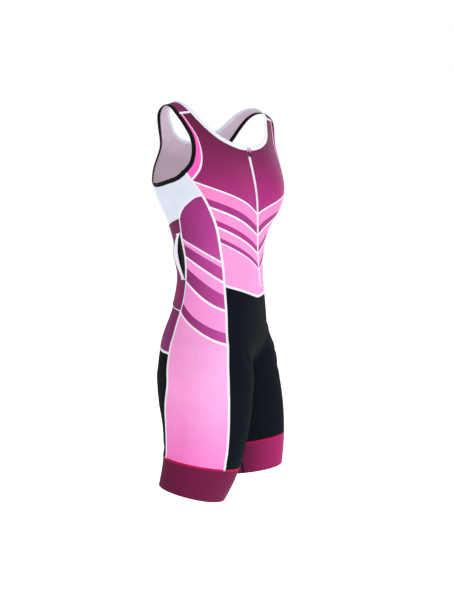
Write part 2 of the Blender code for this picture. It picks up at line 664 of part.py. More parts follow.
def back_waist():
    """The panel under the pocket. The pocket and its bands lie on it, made from the same rows."""
    middle = line((180, under_back_middle[-1, 1]), (180, pocket_foot[-1, 1]), POCKET_ROWS)
    top = chained(under_back_side, under_back_middle)
    share = ease(np.linspace(0, 1, POCKET_ROWS + 1))
    lines = [side_back_top]
    for column, edge in ((1, "front"), (2, "rear")):
        heights = side_back_top[:, 1] + (top[column, 1] - top[0, 1]) * (1 - share)
        heights += (pocket_foot[column, 1] - pocket_foot[0, 1]) * share
        lines.append(np.stack([MOUTH[edge], heights], -1))
    rest = patch(lines[2], middle, top[2:], pocket_foot[2:])
    spots = np.concatenate([np.stack(lines[:2], 1), rest], 1)
    halves = both_halves(spots)
    wall("back_waist", "maroon_cloth", halves)

    gape = np.zeros(spots.shape[:2])
    rows = np.arange(MOUTH_FROM, MOUTH_TO + 1)
    bulge = MOUTH_GAPES * np.sin(np.pi * (rows - MOUTH_FROM) / (MOUTH_TO - MOUTH_FROM)) ** 2
    gape[MOUTH_FROM:MOUTH_TO + 1, 1:4] = bulge[:, None] * GAPE_SHARES
    cells = np.ones((spots.shape[0] - 1, spots.shape[1] - 1), bool)
    cells[MOUTH_FROM:MOUTH_TO, :2] = False
    wall("rear_pocket", "maroon_cloth", halves, out=POCKET_LIFT + gape, cells=cells)
    mouth = np.s_[MOUTH_FROM:MOUTH_TO + 1, 1:3]
    pair("pocket_binding", "white_binding", spots[mouth], out=POCKET_LIFT + BAND_PROUD + gape[mouth],
         thickness=CLOTH, gap=SEAM_GAP)


def lower_back():
    middle = middle_line(1, pocket_foot[-1, 1], seat_seam[-1, 1], LOWER_BACK_ROWS)
    wall("lower_back", "plum_cloth", both_halves(patch(side_back_middle, middle, pocket_foot, seat_seam)))


def shorts():
    """The leg's front and the seat, each cut with a curved middle seam that ends at the crotch point."""
    pieces = (("shorts_front", 0, side_front_leg, waist_seam[::-1], front_leg_foot),
              ("seat", 1, side_back_leg, seat_seam, back_leg_foot))
    for name, which, side, top, foot in pieces:
        rows = len(side) - 1 - INSEAM_ROWS
        middle = middle_line(which, top[-1, 1], CROTCH, rows)
        spots, cells = leg_panel(side, middle, top, crotch_line(which), foot)
        pair(name, "black_cloth", spots, cells=cells)


def leg_bands():
    top = chained(front_leg_foot[::-1], side_leg_foot, back_leg_foot)[:-1]
    spots = np.linspace(top, top + [0, HEM - LEG_BAND_TOP], LEG_BAND_ROWS + 1)
    pair("leg_band", "band_elastic", spots, closed=True)


def bindings():
    """A binding carries on where the cloth ends, and its far edge is the suit's edge."""
    cloth = chained(neck_front, neck_back)
    spots = np.linspace(beside(cloth, BAND_WIDTH), cloth, 3)
    spots[:, 0, 0], spots[:, -1, 0] = 0, 180
    gap = np.full(spots.shape[:2], SEAM_GAP / 2)
    gap[:, 0] = ZIP_SLOT
    wall("neck_binding", "white_binding", both_halves(spots), BAND_PROUD, BAND_WALL, gap)
    ring = chained(armhole_front, armhole_back, armhole_under)[:-1]
    spots = np.linspace(beside(ring, -BAND_WIDTH, closed=True), ring, 3)
    pair("armhole_binding", "black_binding", spots, out=BAND_PROUD, thickness=BAND_WALL, closed=True)


def zip_strip():
    """Coil and tape as one strip between the fronts, up to the neck's edge."""
    top = beside(chained(neck_front, neck_back), BAND_WIDTH)[0, 1]
    middle = chained(line((0, top), zip_line[0], 2), zip_line)
    spots = np.stack([beside(middle, ZIP_WIDTH / 2), middle], 1)
    gap = np.zeros(spots.shape[:2])
    gap[-1] = SEAM_GAP
    wall("zip", "zip_white", both_halves(spots), ZIP_PROUD, CLOTH + ZIP_PROUD, gap)


def box(bm, low, high):
    made = bmesh.ops.create_cube(bm, size=1.0)
    middle = [(a + b) / 2 for a, b in zip(low, high)]
    size = [b - a for a, b in zip(low, high)]
    place = Matrix.LocRotScale(Vector(middle), None, Vector(size))
    bmesh.ops.transform(bm, matrix=place, verts=made["verts"])


def zip_frame(out):
    """Axes at the slider: x across, y up along the zip, z out of the chest, at a distance out of it."""
    spots = np.array([(0, SLIDER_HEIGHT - ZIP_PROBE), (0, SLIDER_HEIGHT), (0, SLIDER_HEIGHT + ZIP_PROBE)])
    points, normals = surface(spots, -1)
    up = Vector((0, *(points[2] - points[0])[1:])).normalized()
    across = Vector((1, 0, 0))
    outwards = across.cross(up)
    place = Matrix.Translation(Vector(points[1]) + outwards * out)
    return place @ Matrix((across, up, outwards)).transposed().to_4x4()


def slider():
    width, length, thickness = SLIDER_SIZE
    top = SLIDER_CLEAR + thickness
    bm = bmesh.new()
    box(bm, (-width / 2, -length / 2, SLIDER_CLEAR), (width / 2, length / 2, top))
    bmesh.ops.bevel(bm, geom=bm.edges[:], offset=SLIDER_EDGE, segments=2, affect="EDGES", profile=0.5)
    mesh = bpy.data.meshes.new("zip_slider")
    bm.to_mesh(mesh)
    bm.free()
    body = add_object("zip_slider", mesh, "slider_black")
    body.matrix_world = zip_frame(0)
    half = CROWN_LENGTH / 2
    foot, crest = top - CROWN_SUNK, top + CROWN_HEIGHT
    parts = [((-half, foot), (-half + CROWN_BAR, crest)), ((half - CROWN_BAR, foot), (half, crest)),
             ((-half, crest - CROWN_TOP), (half, crest))]
    for number, (low, high) in enumerate(parts):
        bm = bmesh.new()
        box(bm, (-CROWN_WIDTH / 2, *low), (CROWN_WIDTH / 2, *high))
        mesh = bpy.data.meshes.new(f"crown_{number}")
        bm.to_mesh(mesh)
        bm.free()
        bar = add_object(f"crown_{number}", mesh, "slider_black")
        bar.matrix_world = zip_frame(0)
        bar.hide_render = True
        bar.display_type = "WIRE"
        union = body.modifiers.new(bar.name, "BOOLEAN")
        union.operation = "UNION"
        union.solver = "EXACT"
        union.object = bar


def pull_tab():
    """A tab with a hole round the slider's crown. Its origin is on the hinge, and it points up."""
    half, radius = PULL_WIDTH / 2, PULL_THICKNESS / 2
    xs = (-half, -PULL_HOLE[0] / 2, PULL_HOLE[0] / 2, half)
    ys = (-radius, radius, PULL_HOLE[1], PULL_LENGTH)
    bm = bmesh.new()
    layers = [[[bm.verts.new((x, y, z)) for x in xs] for y in ys] for z in (radius, -radius)]
    cells = [(i, j) for i in range(3) for j in range(3) if (i, j) != (1, 1)]
    for layer, turn in zip(layers, (1, -1)):
        for i, j in cells:
            bm.faces.new([layer[i][j], layer[i][j + 1], layer[i + 1][j + 1], layer[i + 1][j]][::turn])
    corners = ((0, 0), (0, 3), (3, 3), (3, 0)), ((1, 1), (2, 1), (2, 2), (1, 2))
    for ring in corners:
        for start, end in zip(ring, ring[1:] + ring[:1]):
            steps = max(abs(end[0] - start[0]), abs(end[1] - start[1]))
            way = [(start[0] + (end[0] - start[0]) * k // steps, start[1] + (end[1] - start[1]) * k // steps)
                   for k in range(steps + 1)]
            for (a, b), (c, d) in zip(way[:-1], way[1:]):
                bm.faces.new([layers[0][a][b], layers[0][c][d], layers[1][c][d], layers[1][a][b]])
    mesh = bpy.data.meshes.new("zip_pull")
    bm.to_mesh(mesh)
    bm.free()
    add_object("zip_pull", mesh, "pull_pink").matrix_world = zip_frame(HINGE_OUT)


fronts()
underarms()
side_panels()
upper_back()
back_waist()
lower_back()
shorts()
leg_bands()
bindings()
zip_strip()
slider()
pull_tab()
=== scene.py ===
from math import atan2, cos, degrees, pi, radians, sin, tan

import bpy
import numpy as np
from mathutils import Matrix, Vector


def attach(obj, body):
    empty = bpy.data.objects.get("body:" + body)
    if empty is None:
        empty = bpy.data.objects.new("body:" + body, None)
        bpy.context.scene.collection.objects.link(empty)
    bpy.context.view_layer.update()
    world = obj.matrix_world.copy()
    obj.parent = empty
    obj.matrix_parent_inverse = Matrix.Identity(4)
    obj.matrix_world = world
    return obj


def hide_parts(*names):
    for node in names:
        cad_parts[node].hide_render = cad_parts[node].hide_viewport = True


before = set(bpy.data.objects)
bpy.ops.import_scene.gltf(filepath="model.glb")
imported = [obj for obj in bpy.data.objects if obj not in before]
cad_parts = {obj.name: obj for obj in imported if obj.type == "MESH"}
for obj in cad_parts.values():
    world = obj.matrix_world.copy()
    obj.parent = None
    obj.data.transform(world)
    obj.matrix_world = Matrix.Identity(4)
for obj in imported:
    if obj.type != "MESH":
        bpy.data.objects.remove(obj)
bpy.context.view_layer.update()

# ---- The two fronts ----
# Each is one panel of smooth printed stretch knit, from the shoulder seam to the waist, with its
# strap's front part. The cloth lies taut on the form that it is worn on, so every panel is laid out
# in spots on that form, an angle round the body from the middle of the front and a height.

# The form: a body and two thighs, each by its half breadths and depths at a list of heights, with a
# cup and a shoulder joined on at each side. Sizes are in metres and angles in degrees.
BODY = {
    "height": [-0.610, -0.545, -0.490, -0.430, -0.370, -0.310, -0.250, -0.190, -0.130, -0.080, -0.030],
    "half_breadth": [0.152, 0.165, 0.157, 0.139, 0.119, 0.115, 0.128, 0.148, 0.157, 0.143, 0.120],
    "front_depth": [0.077, 0.096, 0.100, 0.098, 0.094, 0.093, 0.099, 0.101, 0.099, 0.087, 0.064],
    "back_depth": [0.108, 0.127, 0.116, 0.094, 0.082, 0.083, 0.092, 0.114, 0.122, 0.101, 0.082],
}
THIGH = {
    "height": [-0.830, -0.760, -0.690, -0.610, -0.550, -0.490],
    "half_breadth": [0.065, 0.070, 0.075, 0.081, 0.079, 0.066],
    "half_depth": [0.071, 0.082, 0.092, 0.103, 0.103, 0.079],
    "middle_x": [0.093, 0.089, 0.088, 0.088, 0.090, 0.090],
    "middle_y": [0.002, -0.005, -0.007, 0.000, 0.002, -0.003],
}
BODY_SQUARENESS = 2.25
THIGH_SQUARENESS = 2.1
BODY_CLOSES = (-0.555, -0.635)  # heights between which the body narrows to its lower end
BODY_SHALLOWS = (-0.490, -0.635)  # and between which it gets shallower
SHOULDERS_CLOSE = (-0.065, 0.020)  # and between which it closes at the top
CUP_MIDDLE = (0.061, -0.058, -0.184)
CUP_RADII = (0.056, 0.053, 0.055)
SHOULDER_INNER = (0.045, 0.010, -0.018)
SHOULDER_OUTER = (0.165, 0.014, -0.054)
SHOULDER_RADIUS = 0.042
BLEND = 0.050  # of the body with a cup or a shoulder
THIGH_BLEND = 0.025
FAN_FROM = -0.150  # the height above which spots fan out upwards, from one level
FAN_RADIUS = 0.120  # the height for each radian of the fan
MIDDLE_Y = 0.010  # of the body's middle, which spots are seen from
MIDDLE_MOVES = (-0.410, -0.590)  # heights over which that moves to the leg's middle
REACH = 0.35  # how far out a spot is looked for
CROTCH = -0.595
LEG_X = 0.088  # of the leg's middle
LEG_GAP = (0.0004, 0.006)  # from the middle to a leg's inner face, at its least and at its most
LEG_GAP_GROWS = 0.3  # for each metre below the crotch
HIP_BEND = (-0.490, 0.120)  # the height where a leg starts to turn, and the length of the bend
END_SHARE = 0.998  # of the way to its closed ends, where the body stops getting smaller
PAST_END = 8  # how fast the distance from the body grows past them


def at(table, column, where):
    """The table's column at a value of its first column, on a smooth line through its rows."""
    keys = np.array(next(iter(table.values())), float)
    values = np.array(table[column], float)
    slopes = np.gradient(values, keys)
    where = np.clip(where, keys[0], keys[-1])
    i = np.clip(np.searchsorted(keys, where) - 1, 0, len(keys) - 2)
    span = keys[i + 1] - keys[i]
    t = (where - keys[i]) / span
    start = (2 * t**3 - 3 * t**2 + 1) * values[i] + (t**3 - 2 * t**2 + t) * span * slopes[i]
    end = (3 * t**2 - 2 * t**3) * values[i + 1] + (t**3 - t**2) * span * slopes[i + 1]
    return start + end


def ease(value, start=0.0, end=1.0):
    """0 before start, 1 after end and smooth between."""
    t = np.clip((value - start) / (end - start), 0, 1)
    return t * t * (3 - 2 * t)


def joined(a, b, blend):
    """The smaller of two distances, rounded over where they are alike."""
    share = np.clip(0.5 + 0.5 * (b - a) / blend, 0, 1)
    return b * (1 - share) + a * share - blend * share * (1 - share)


def outside_oval(x, y, half_breadth, front, back, squareness):
    depth = np.where(y < 0, front, back)
    size = (np.abs(x / half_breadth) ** squareness + np.abs(y / depth) ** squareness) ** (1 / squareness)
    return (size - 1) * np.sqrt(half_breadth * depth)


def form(x, y, z):
    """Below 0 inside the form and above it outside. x is the distance from the middle."""
    low, shallow, high = (np.clip((z - a) / (b - a), 0, END_SHARE)
                          for a, b in (BODY_CLOSES, BODY_SHALLOWS, SHOULDERS_CLOSE))
    narrow, flat = np.sqrt((1 - low**2) * (1 - high**2)), (1 - shallow**2) * np.sqrt(1 - high**2)
    columns = [at(BODY, name, z) * share for name, share in
               (("half_breadth", narrow), ("front_depth", flat), ("back_depth", flat))]
    beyond = np.clip(BODY_CLOSES[1] - z, 0, 1) + np.clip(z - SHOULDERS_CLOSE[1], 0, 1)
    body = outside_oval(x, y, *columns, BODY_SQUARENESS) + PAST_END * beyond

    offsets = [(p - m) / r for p, m, r in zip((x, y, z), CUP_MIDDLE, CUP_RADII)]
    cup = (np.sqrt(sum(o**2 for o in offsets)) - 1) * CUP_RADII[1]
    body = joined(body, cup, BLEND)

    bar = [b - a for a, b in zip(SHOULDER_INNER, SHOULDER_OUTER)]
    start = [p - a for p, a in zip((x, y, z), SHOULDER_INNER)]
    share = np.clip(sum(s * b for s, b in zip(start, bar)) / sum(b * b for b in bar), 0, 1)
    shoulder = np.sqrt(sum((s - share * b) ** 2 for s, b in zip(start, bar))) - SHOULDER_RADIUS
    body = joined(body, shoulder, BLEND)

    depth = at(THIGH, "half_depth", z)
    thigh = outside_oval(x - at(THIGH, "middle_x", z), y - at(THIGH, "middle_y", z),
                         at(THIGH, "half_breadth", z), depth, depth, THIGH_SQUARENESS)
    return joined(body, thigh + np.clip(z - HIP_BEND[0], 0, 1), THIGH_BLEND)


def legs_apart(height):
    """The inner face of a leg keeps this far from the middle; above the crotch it reaches it."""
    below = np.clip(LEG_GAP[0] + LEG_GAP_GROWS * (CROTCH - height), *LEG_GAP)
    return np.where(height <= CROTCH + 1e-9, below, 0.0)


def eye(height):
    """x and y that a height's spots are seen from."""
    share = ease(-height, -MIDDLE_MOVES[0], -MIDDLE_MOVES[1])
    return LEG_X * share, MIDDLE_Y * (1 - share)


HALVINGS = 24  # of the range in which a spot is looked for


def on_form(spots):
    """Points of the right half, unposed, with x as the distance from the middle."""
    angle, height = radians(1) * spots[..., 0], spots[..., 1]
    level = np.minimum(height, FAN_FROM)
    rise = (np.maximum(height, FAN_FROM) - FAN_FROM) / FAN_RADIUS
    start = np.stack([*eye(level), level], -1)
    way = np.stack([np.sin(angle) * np.cos(rise), -np.cos(angle) * np.cos(rise), np.sin(rise)], -1)
    inward = np.minimum(way[..., 0], -1e-9)
    stopped = (way[..., 0] < -1e-9) & (level < MIDDLE_MOVES[0])
    far = np.where(stopped, (legs_apart(level) - start[..., 0]) / inward, REACH)
    near, far = np.zeros_like(far), np.clip(far, 0, REACH)
    for _ in range(HALVINGS):
        middle = (near + far) / 2
        x, y, z = np.moveaxis(start + way * middle[..., None], -1, 0)
        inside = form(np.abs(x), y, z) < 0
        near = np.where(inside, middle, near)
        far = np.where(inside, far, middle)
    return start + way * near[..., None]


def outward(points):
    """The form's outward direction at unposed points."""
    step = 1e-4
    slopes = []
    for axis in range(3):
        move = np.zeros(3)
        move[axis] = step
        ahead, behind = np.moveaxis(points + move, -1, 0), np.moveaxis(points - move, -1, 0)
        slopes.append(form(np.abs(ahead[0]), *ahead[1:]) - form(np.abs(behind[0]), *behind[1:]))
    direction = np.stack(slopes, -1)
    held = np.abs(points[..., 0] - legs_apart(points[..., 2])) < 1e-5
    inner_leg = held & (points[..., 2] <= CROTCH + 1e-6)
    direction = np.where(inner_leg[..., None], np.array([-1.0, 0.0, 0.0]), direction)
    return direction / np.linalg.norm(direction, axis=-1, keepdims=True)


# The stance: hips turned from the shoulders, left leg forward, right leg a little back.
TWIST = radians(31)
TWIST_HEIGHTS = (-0.090, -0.420)
HIP_ANGLE = {"left": radians(11), "right": radians(-4.2)}
KNEE_BEND = (-0.710, 0.080)
KNEE_ANGLE = {"left": radians(-2.5), "right": radians(-8)}
HIP_DROP = tan(radians(5.5))
HIP_DROP_HEIGHTS = (-0.320, -0.440)
LEGS_SPLAY = tan(radians(2.2))
LEGS_PART = (-0.575, -0.695)


def bent(points, bend, angle):
    """What lies below a height turned forward by angle, along an arc."""
    top, length = bend
    depth = np.clip(top - points[..., 2], 0, None)
    turn = angle * np.clip(depth / length, 0, 1)
    rest = np.clip(depth - length, 0, None)
    forward = length / angle * (1 - np.cos(turn)) + rest * np.sin(angle)
    down = length / angle * np.sin(turn) + rest * np.cos(angle)
    y = points[..., 1] * np.cos(turn) - forward
    z = np.where(depth > 0, top - down - points[..., 1] * np.sin(turn), points[..., 2])
    return np.stack([points[..., 0], y, z], -1)


def posed(points, share):
    """Points in the stance. share is 0 where they move with the right leg and 1 with the left."""
    legs = [bent(bent(points, KNEE_BEND, KNEE_ANGLE[which]), HIP_BEND, HIP_ANGLE[which])
            for which in ("right", "left")]
    moved = legs[0] * (1 - share[..., None]) + legs[1] * share[..., None]
    x, height = points[..., 0], points[..., 2]
    alone = ease(-height, -LEGS_PART[0], -LEGS_PART[1])
    side = 2 * share - 1
    dropped = ease(-height, -HIP_DROP_HEIGHTS[0], -HIP_DROP_HEIGHTS[1])
    moved[..., 2] += HIP_DROP * dropped * (x * (1 - alone) + LEG_X * side * alone)
    moved[..., 2] += LEGS_SPLAY * alone * (np.abs(x) - LEG_X)
    moved[..., 0] += LEGS_SPLAY * side * np.clip(CROTCH - height, 0, None)
    turn = TWIST * ease(-height, -TWIST_HEIGHTS[0], -TWIST_HEIGHTS[1])
    turned_x = moved[..., 0] * np.cos(turn) - moved[..., 1] * np.sin(turn)
    turned_y = moved[..., 0] * np.sin(turn) + moved[..., 1] * np.cos(turn)
    return np.stack([turned_x, turned_y, moved[..., 2]], -1)


# Creases of the taut cloth: the half, -1 for the right one, the first and last spot, width and depth.
FOLDS = [
    (-1, (74, -0.168), (52, -0.186), 0.006, 0.0012), (-1, (72, -0.180), (56, -0.205), 0.005, 0.0008),
    (1, (73, -0.166), (50, -0.180), 0.006, 0.0012), (1, (74, -0.182), (58, -0.200), 0.005, 0.0007),
    (-1, (88, -0.180), (96, -0.215), 0.007, 0.0013), (-1, (104, -0.186), (110, -0.232), 0.006, 0.0010),
    (1, (90, -0.182), (97, -0.222), 0.007, 0.0012), (1, (108, -0.186), (118, -0.228), 0.006, 0.0009),
    (-1, (96, -0.300), (66, -0.313), 0.008, 0.0009), (-1, (102, -0.352), (80, -0.372), 0.009, 0.0012),
    (1, (94, -0.296), (64, -0.312), 0.008, 0.0010), (1, (100, -0.348), (76, -0.364), 0.009, 0.0011),
    (-1, (8, -0.352), (44, -0.338), 0.009, 0.0010), (-1, (5, -0.384), (30, -0.374), 0.007, 0.0008),
    (1, (10, -0.346), (48, -0.332), 0.009, 0.0010), (1, (6, -0.380), (34, -0.366), 0.007, 0.0008),
    (-1, (150, -0.300), (179, -0.306), 0.010, 0.0014), (-1, (140, -0.338), (178, -0.346), 0.011, 0.0015),
    (1, (146, -0.304), (179, -0.312), 0.010, 0.0014), (1, (150, -0.344), (178, -0.352), 0.010, 0.0011),
    (-1, (4, -0.560), (40, -0.498), 0.008, 0.0016), (-1, (-10, -0.584), (30, -0.545), 0.007, 0.0015),
    (1, (2, -0.556), (38, -0.490), 0.009, 0.0018), (1, (-8, -0.582), (34, -0.538), 0.007, 0.0014),
    (-1, (-30, -0.610), (24, -0.594), 0.007, 0.0012), (1, (-34, -0.612), (20, -0.600), 0.008, 0.0014),
    (-1, (236, -0.606), (170, -0.584), 0.009, 0.0020), (-1, (228, -0.628), (160, -0.622), 0.009, 0.0014),
    (1, (238, -0.604), (168, -0.588), 0.009, 0.0019), (1, (226, -0.630), (164, -0.620), 0.009, 0.0014),
    (-1, (20, -0.735), (60, -0.728), 0.007, 0.0008), (1, (-40, -0.738), (10, -0.729), 0.007, 0.0010),
    (-1, (150, -0.730), (200, -0.738), 0.008, 0.0012), (1, (140, -0.732), (196, -0.737), 0.008, 0.0012),
    (-1, (118, -0.100), (124, -0.142), 0.005, 0.0007), (1, (120, -0.098), (128, -0.140), 0.005, 0.0007),
]
fold_lines = [(half, on_form(np.linspace(start, end, 8)), width, depth)
              for half, start, end, width, depth in FOLDS]
RIDGE = (0.4, 1.9, 0.8)  # the ridge beside a crease: its height, place and width, by the crease's own
BLUNT = 0.8  # how bluntly a crease ends: nearer 0 is blunter


def dents(points, side):
    """How deep the creases are at unposed points of one half."""
    deep = np.zeros(points.shape[:-1])
    ridge, ridge_place, ridge_width = RIDGE
    for half, crease, width, depth in fold_lines:
        if half != side:
            continue
        nearest, place = np.full(deep.shape, np.inf), np.zeros(deep.shape)
        for number, (start, end) in enumerate(zip(crease[:-1], crease[1:])):
            along = np.clip(((points - start) @ (end - start)) / ((end - start) @ (end - start)), 0, 1)
            distance = np.linalg.norm(points - start - along[..., None] * (end - start), axis=-1)
            place = np.where(distance < nearest, (number + along) / (len(crease) - 1), place)
            nearest = np.minimum(nearest, distance)
        across = nearest / width
        profile = np.exp(-across**2) - ridge * np.exp(-((across - ridge_place) / ridge_width) ** 2)
        deep += depth * profile * np.sin(pi * place) ** BLUNT
    return deep


LEGS_BLEND = 0.002  # how far from the middle the two legs' moves blend, below the crotch
BODY_BLEND = 0.090  # and how much further above it
BLEND_HEIGHTS = (CROTCH - 0.080, CROTCH + 0.140)


def surface(spots, side, out=0.0):
    """Posed points of the cloth, moved out, and its outward directions. side -1 is the right half."""
    points = on_form(spots)
    normals = outward(points)
    out = out - dents(points, side)
    points[..., 0] *= side
    normals[..., 0] *= side
    helper = np.where(np.abs(normals[..., 2:]) < 0.7, np.array([0.0, 0.0, 1.0]), np.array([1.0, 0.0, 0.0]))
    first = np.cross(helper, normals)
    second = np.cross(normals, first)
    width = LEGS_BLEND + BODY_BLEND * ease(points[..., 2], *BLEND_HEIGHTS)
    share = ease(points[..., 0] / width, -1, 1)
    step = 1e-5
    placed = posed(points, share)
    across = posed(points + step * first, share) - placed
    along = posed(points + step * second, share) - placed
    normals = np.cross(across, along)
    normals /= np.linalg.norm(normals, axis=-1, keepdims=True)
    return placed + normals * np.broadcast_to(out, normals.shape[:-1])[..., None], normals


# Seams of the right half, as tables and as lines of spots.
FINE = 5  # steps of a line for each step of the same seam in the solids
EVEN_FROM = 180  # steps of a line before its steps are evened
ROW_STEPS = 30  # steps between two rows of the armhole, before they are evened
FRONT_STEPS = 8 * FINE
ARMHOLE_FRONT_STEPS = 6 * FINE
SHOULDER_STEPS = 2 * FINE
UNDERARM_STEPS = 4 * FINE
WAIST_ROWS = 10 * FINE
ZIP_SLOT = 0.00335  # from the middle to a front's edge
ZIP_END = -0.385
SLOT_CLOSES = 0.003  # how far below the zip's end the two edges meet
SHOULDER_NECK_ANGLE = 69
ARMHOLE_SHOULDER = 5  # the armhole's row at the shoulder seam
SIDE_FRONT = {
    "height": [-0.752, -0.690, -0.630, -0.575, -0.520, -0.470, -0.420, -0.330, -0.240, -0.190, -0.149],
    "angle": [34, 36.5, 40, 44, 53.5, 60, 63, 60, 57.5, 60.5, 68],
}
NECK = {
    "angle": [0, 12, 26, 38, 49, 60, 69, 80, 92, 106, 122, 140, 160, 180],
    "height": [-0.0930, -0.0920, -0.0870, -0.0800, -0.0700, -0.0590, -0.0515, -0.0440, -0.0400, -0.0410,
               -0.0480, -0.0570, -0.0650, -0.0680],
}
ARMHOLE = [
    (68, -0.1490), (61.5, -0.1330), (59.5, -0.1100), (62, -0.0870), (68, -0.0720), (75, -0.0615),
    (84, -0.0520), (96, -0.0490), (108, -0.0550), (119, -0.0690), (129, -0.0890), (134, -0.1130),
    (133, -0.1390), (126, -0.1600), (115, -0.1720), (101, -0.1750), (86, -0.1690), (76, -0.1620),
]
WAIST = {"angle": [0, 15, 30, 45, 63], "height": [-0.407, -0.406, -0.398, -0.388, -0.377]}
UNDERARM_CURVE = {
    "angle": [60.3, 66.5, 74, 81.5, 88, 92],
    "height": [-0.193, -0.197, -0.207, -0.218, -0.231, -0.242],
}


def line(start, end, steps):
    return np.linspace(start, end, steps + 1)


def by_height(table, top, bottom, steps):
    heights = np.linspace(top, bottom, steps + 1)
    return np.stack([at(table, "angle", heights), heights], -1)


def by_angle(table, start, end, steps):
    angles = np.linspace(start, end, steps + 1)
    return np.stack([angles, at(table, "height", angles)], -1)


def evened(spots, steps):
    """The same line with steps of one length on the form."""
    lengths = np.linalg.norm(np.diff(on_form(spots), axis=0), axis=1)
    lengths = np.concatenate([[0], np.cumsum(lengths)])
    marks = np.linspace(0, lengths[-1], steps + 1)
    return np.stack([np.interp(marks, lengths, spots[:, i]) for i in range(2)], -1)


def round_armhole(first, last, steps):
    """Part of the armhole, a closed smooth line through its rows, from one row to another."""
    rows = np.array(ARMHOLE, float)
    count = len(rows)
    last += count * (last <= first)
    where = np.linspace(first, last, ROW_STEPS * (last - first) + 1)
    row = np.floor(where).astype(int)
    t = (where - row)[:, None]
    before, here, after, beyond = (rows[(row + i) % count] for i in (-1, 0, 1, 2))
    smooth = 0.5 * (2 * here + (after - before) * t
                    + (2 * before - 5 * here + 4 * after - beyond) * t**2
                    + (3 * here - before - 3 * after + beyond) * t**3)
    return evened(smooth, steps)


def chained(*lines):
    return np.concatenate([lines[0]] + [part[1:] for part in lines[1:]])


def beside(spots, width, closed=False):
    """The line moved sideways on the form by a width, to the left of its way in angle and height."""
    by_one_angle, by_one_height = ((on_form(spots + step) - on_form(spots - step)) / (2 * max(step))
                                   for step in ([0.05, 0], [0, 5e-5]))
    e, f, g = ((a * b).sum(-1) for a, b in ((by_one_angle, by_one_angle), (by_one_angle, by_one_height),
                                            (by_one_height, by_one_height)))
    if closed:
        way = np.roll(spots, -1, 0) - np.roll(spots, 1, 0)
    else:
        way = np.gradient(spots, axis=0)
    length = np.sqrt(e * way[:, 0] ** 2 + 2 * f * way[:, 0] * way[:, 1] + g * way[:, 1] ** 2)
    across = np.stack([-(f * way[:, 0] + g * way[:, 1]), e * way[:, 0] + f * way[:, 1]], -1)
    return spots + across * (width / (np.sqrt(e * g - f * f) * length))[:, None]


def patch(left, right, top, bottom):
    """A grid of spots filled in between four lines, rows from top to bottom."""
    s = np.linspace(0, 1, len(top))[None, :, None]
    t = np.linspace(0, 1, len(left))[:, None, None]
    between_ends = (1 - t) * top[None] + t * bottom[None]
    between_sides = (1 - s) * left[:, None] + s * right[:, None]
    corners = ((1 - s) * (1 - t) * top[0] + s * (1 - t) * top[-1]
               + (1 - s) * t * bottom[0] + s * t * bottom[-1])
    return between_ends + between_sides - corners


CLOTH = 0.0008  # thickness
WELD = 2e-6  # corners nearer than this become one
SIDES = ((-1, "right"), (1, "left"))


def added(primitive, **options):
    """A new primitive, and nothing else selected."""
    bpy.ops.object.select_all(action="DESELECT")
    primitive(**options)
    return bpy.context.object


def edited(operator, **options):
    """Runs a mesh operator on all of the active piece."""
    bpy.ops.object.mode_set(mode="EDIT")
    bpy.ops.mesh.select_all(action="SELECT")
    operator(**options)
    bpy.ops.object.mode_set(mode="OBJECT")


def modified(piece, kind, **settings):
    """Applies a modifier with these settings to the piece."""
    bpy.context.view_layer.objects.active = piece
    bpy.ops.object.modifier_add(type=kind)
    modifier = piece.modifiers[-1]
    for key, value in settings.items():
        setattr(modifier, key, value)
    bpy.ops.object.modifier_apply(modifier=modifier.name)


def shaped_grid(name, points, maps=(), cells=None, out=None, welded=False):
    """A grid primitive with its corners put at points, rows by columns, and its faces turned out.

    maps are UV maps by name, with a pair of values a point. cells tells which faces are kept.
    """
    rows, columns = points.shape[:2]
    piece = added(bpy.ops.mesh.primitive_grid_add, x_subdivisions=columns - 1, y_subdivisions=rows - 1)
    piece.name = piece.data.name = name
    mesh = piece.data
    mesh.vertices.foreach_set("co", points.reshape(-1).astype(np.float32))
    corner = np.zeros(len(mesh.loops), np.int32)
    mesh.loops.foreach_get("vertex_index", corner)
    mesh.uv_layers.remove(mesh.uv_layers[0])
    for title, values in dict(maps).items():
        layer = mesh.uv_layers.new(name=title)
        layer.uv.foreach_set("vector", values.reshape(-1, 2)[corner].reshape(-1).astype(np.float32))
    if cells is not None:
        bpy.ops.object.mode_set(mode="EDIT")
        bpy.ops.mesh.select_mode(type="FACE")
        bpy.ops.mesh.select_all(action="DESELECT")
        bpy.ops.object.mode_set(mode="OBJECT")
        mesh.polygons.foreach_set("select", ~cells.reshape(-1))
        bpy.ops.object.mode_set(mode="EDIT")
        bpy.ops.mesh.delete(type="FACE")
        bpy.ops.object.mode_set(mode="OBJECT")
    if welded:
        edited(bpy.ops.mesh.remove_doubles, threshold=WELD)
    if out is not None:
        middle = (rows // 3) * columns + columns // 3
        ahead = points.reshape(-1, 3)[[middle, middle + 1, middle + columns]]
        facing = np.cross(ahead[1] - ahead[0], ahead[2] - ahead[0]) @ out.reshape(-1, 3)[middle]
        if facing < 0:
            edited(bpy.ops.mesh.flip_normals)
    return piece


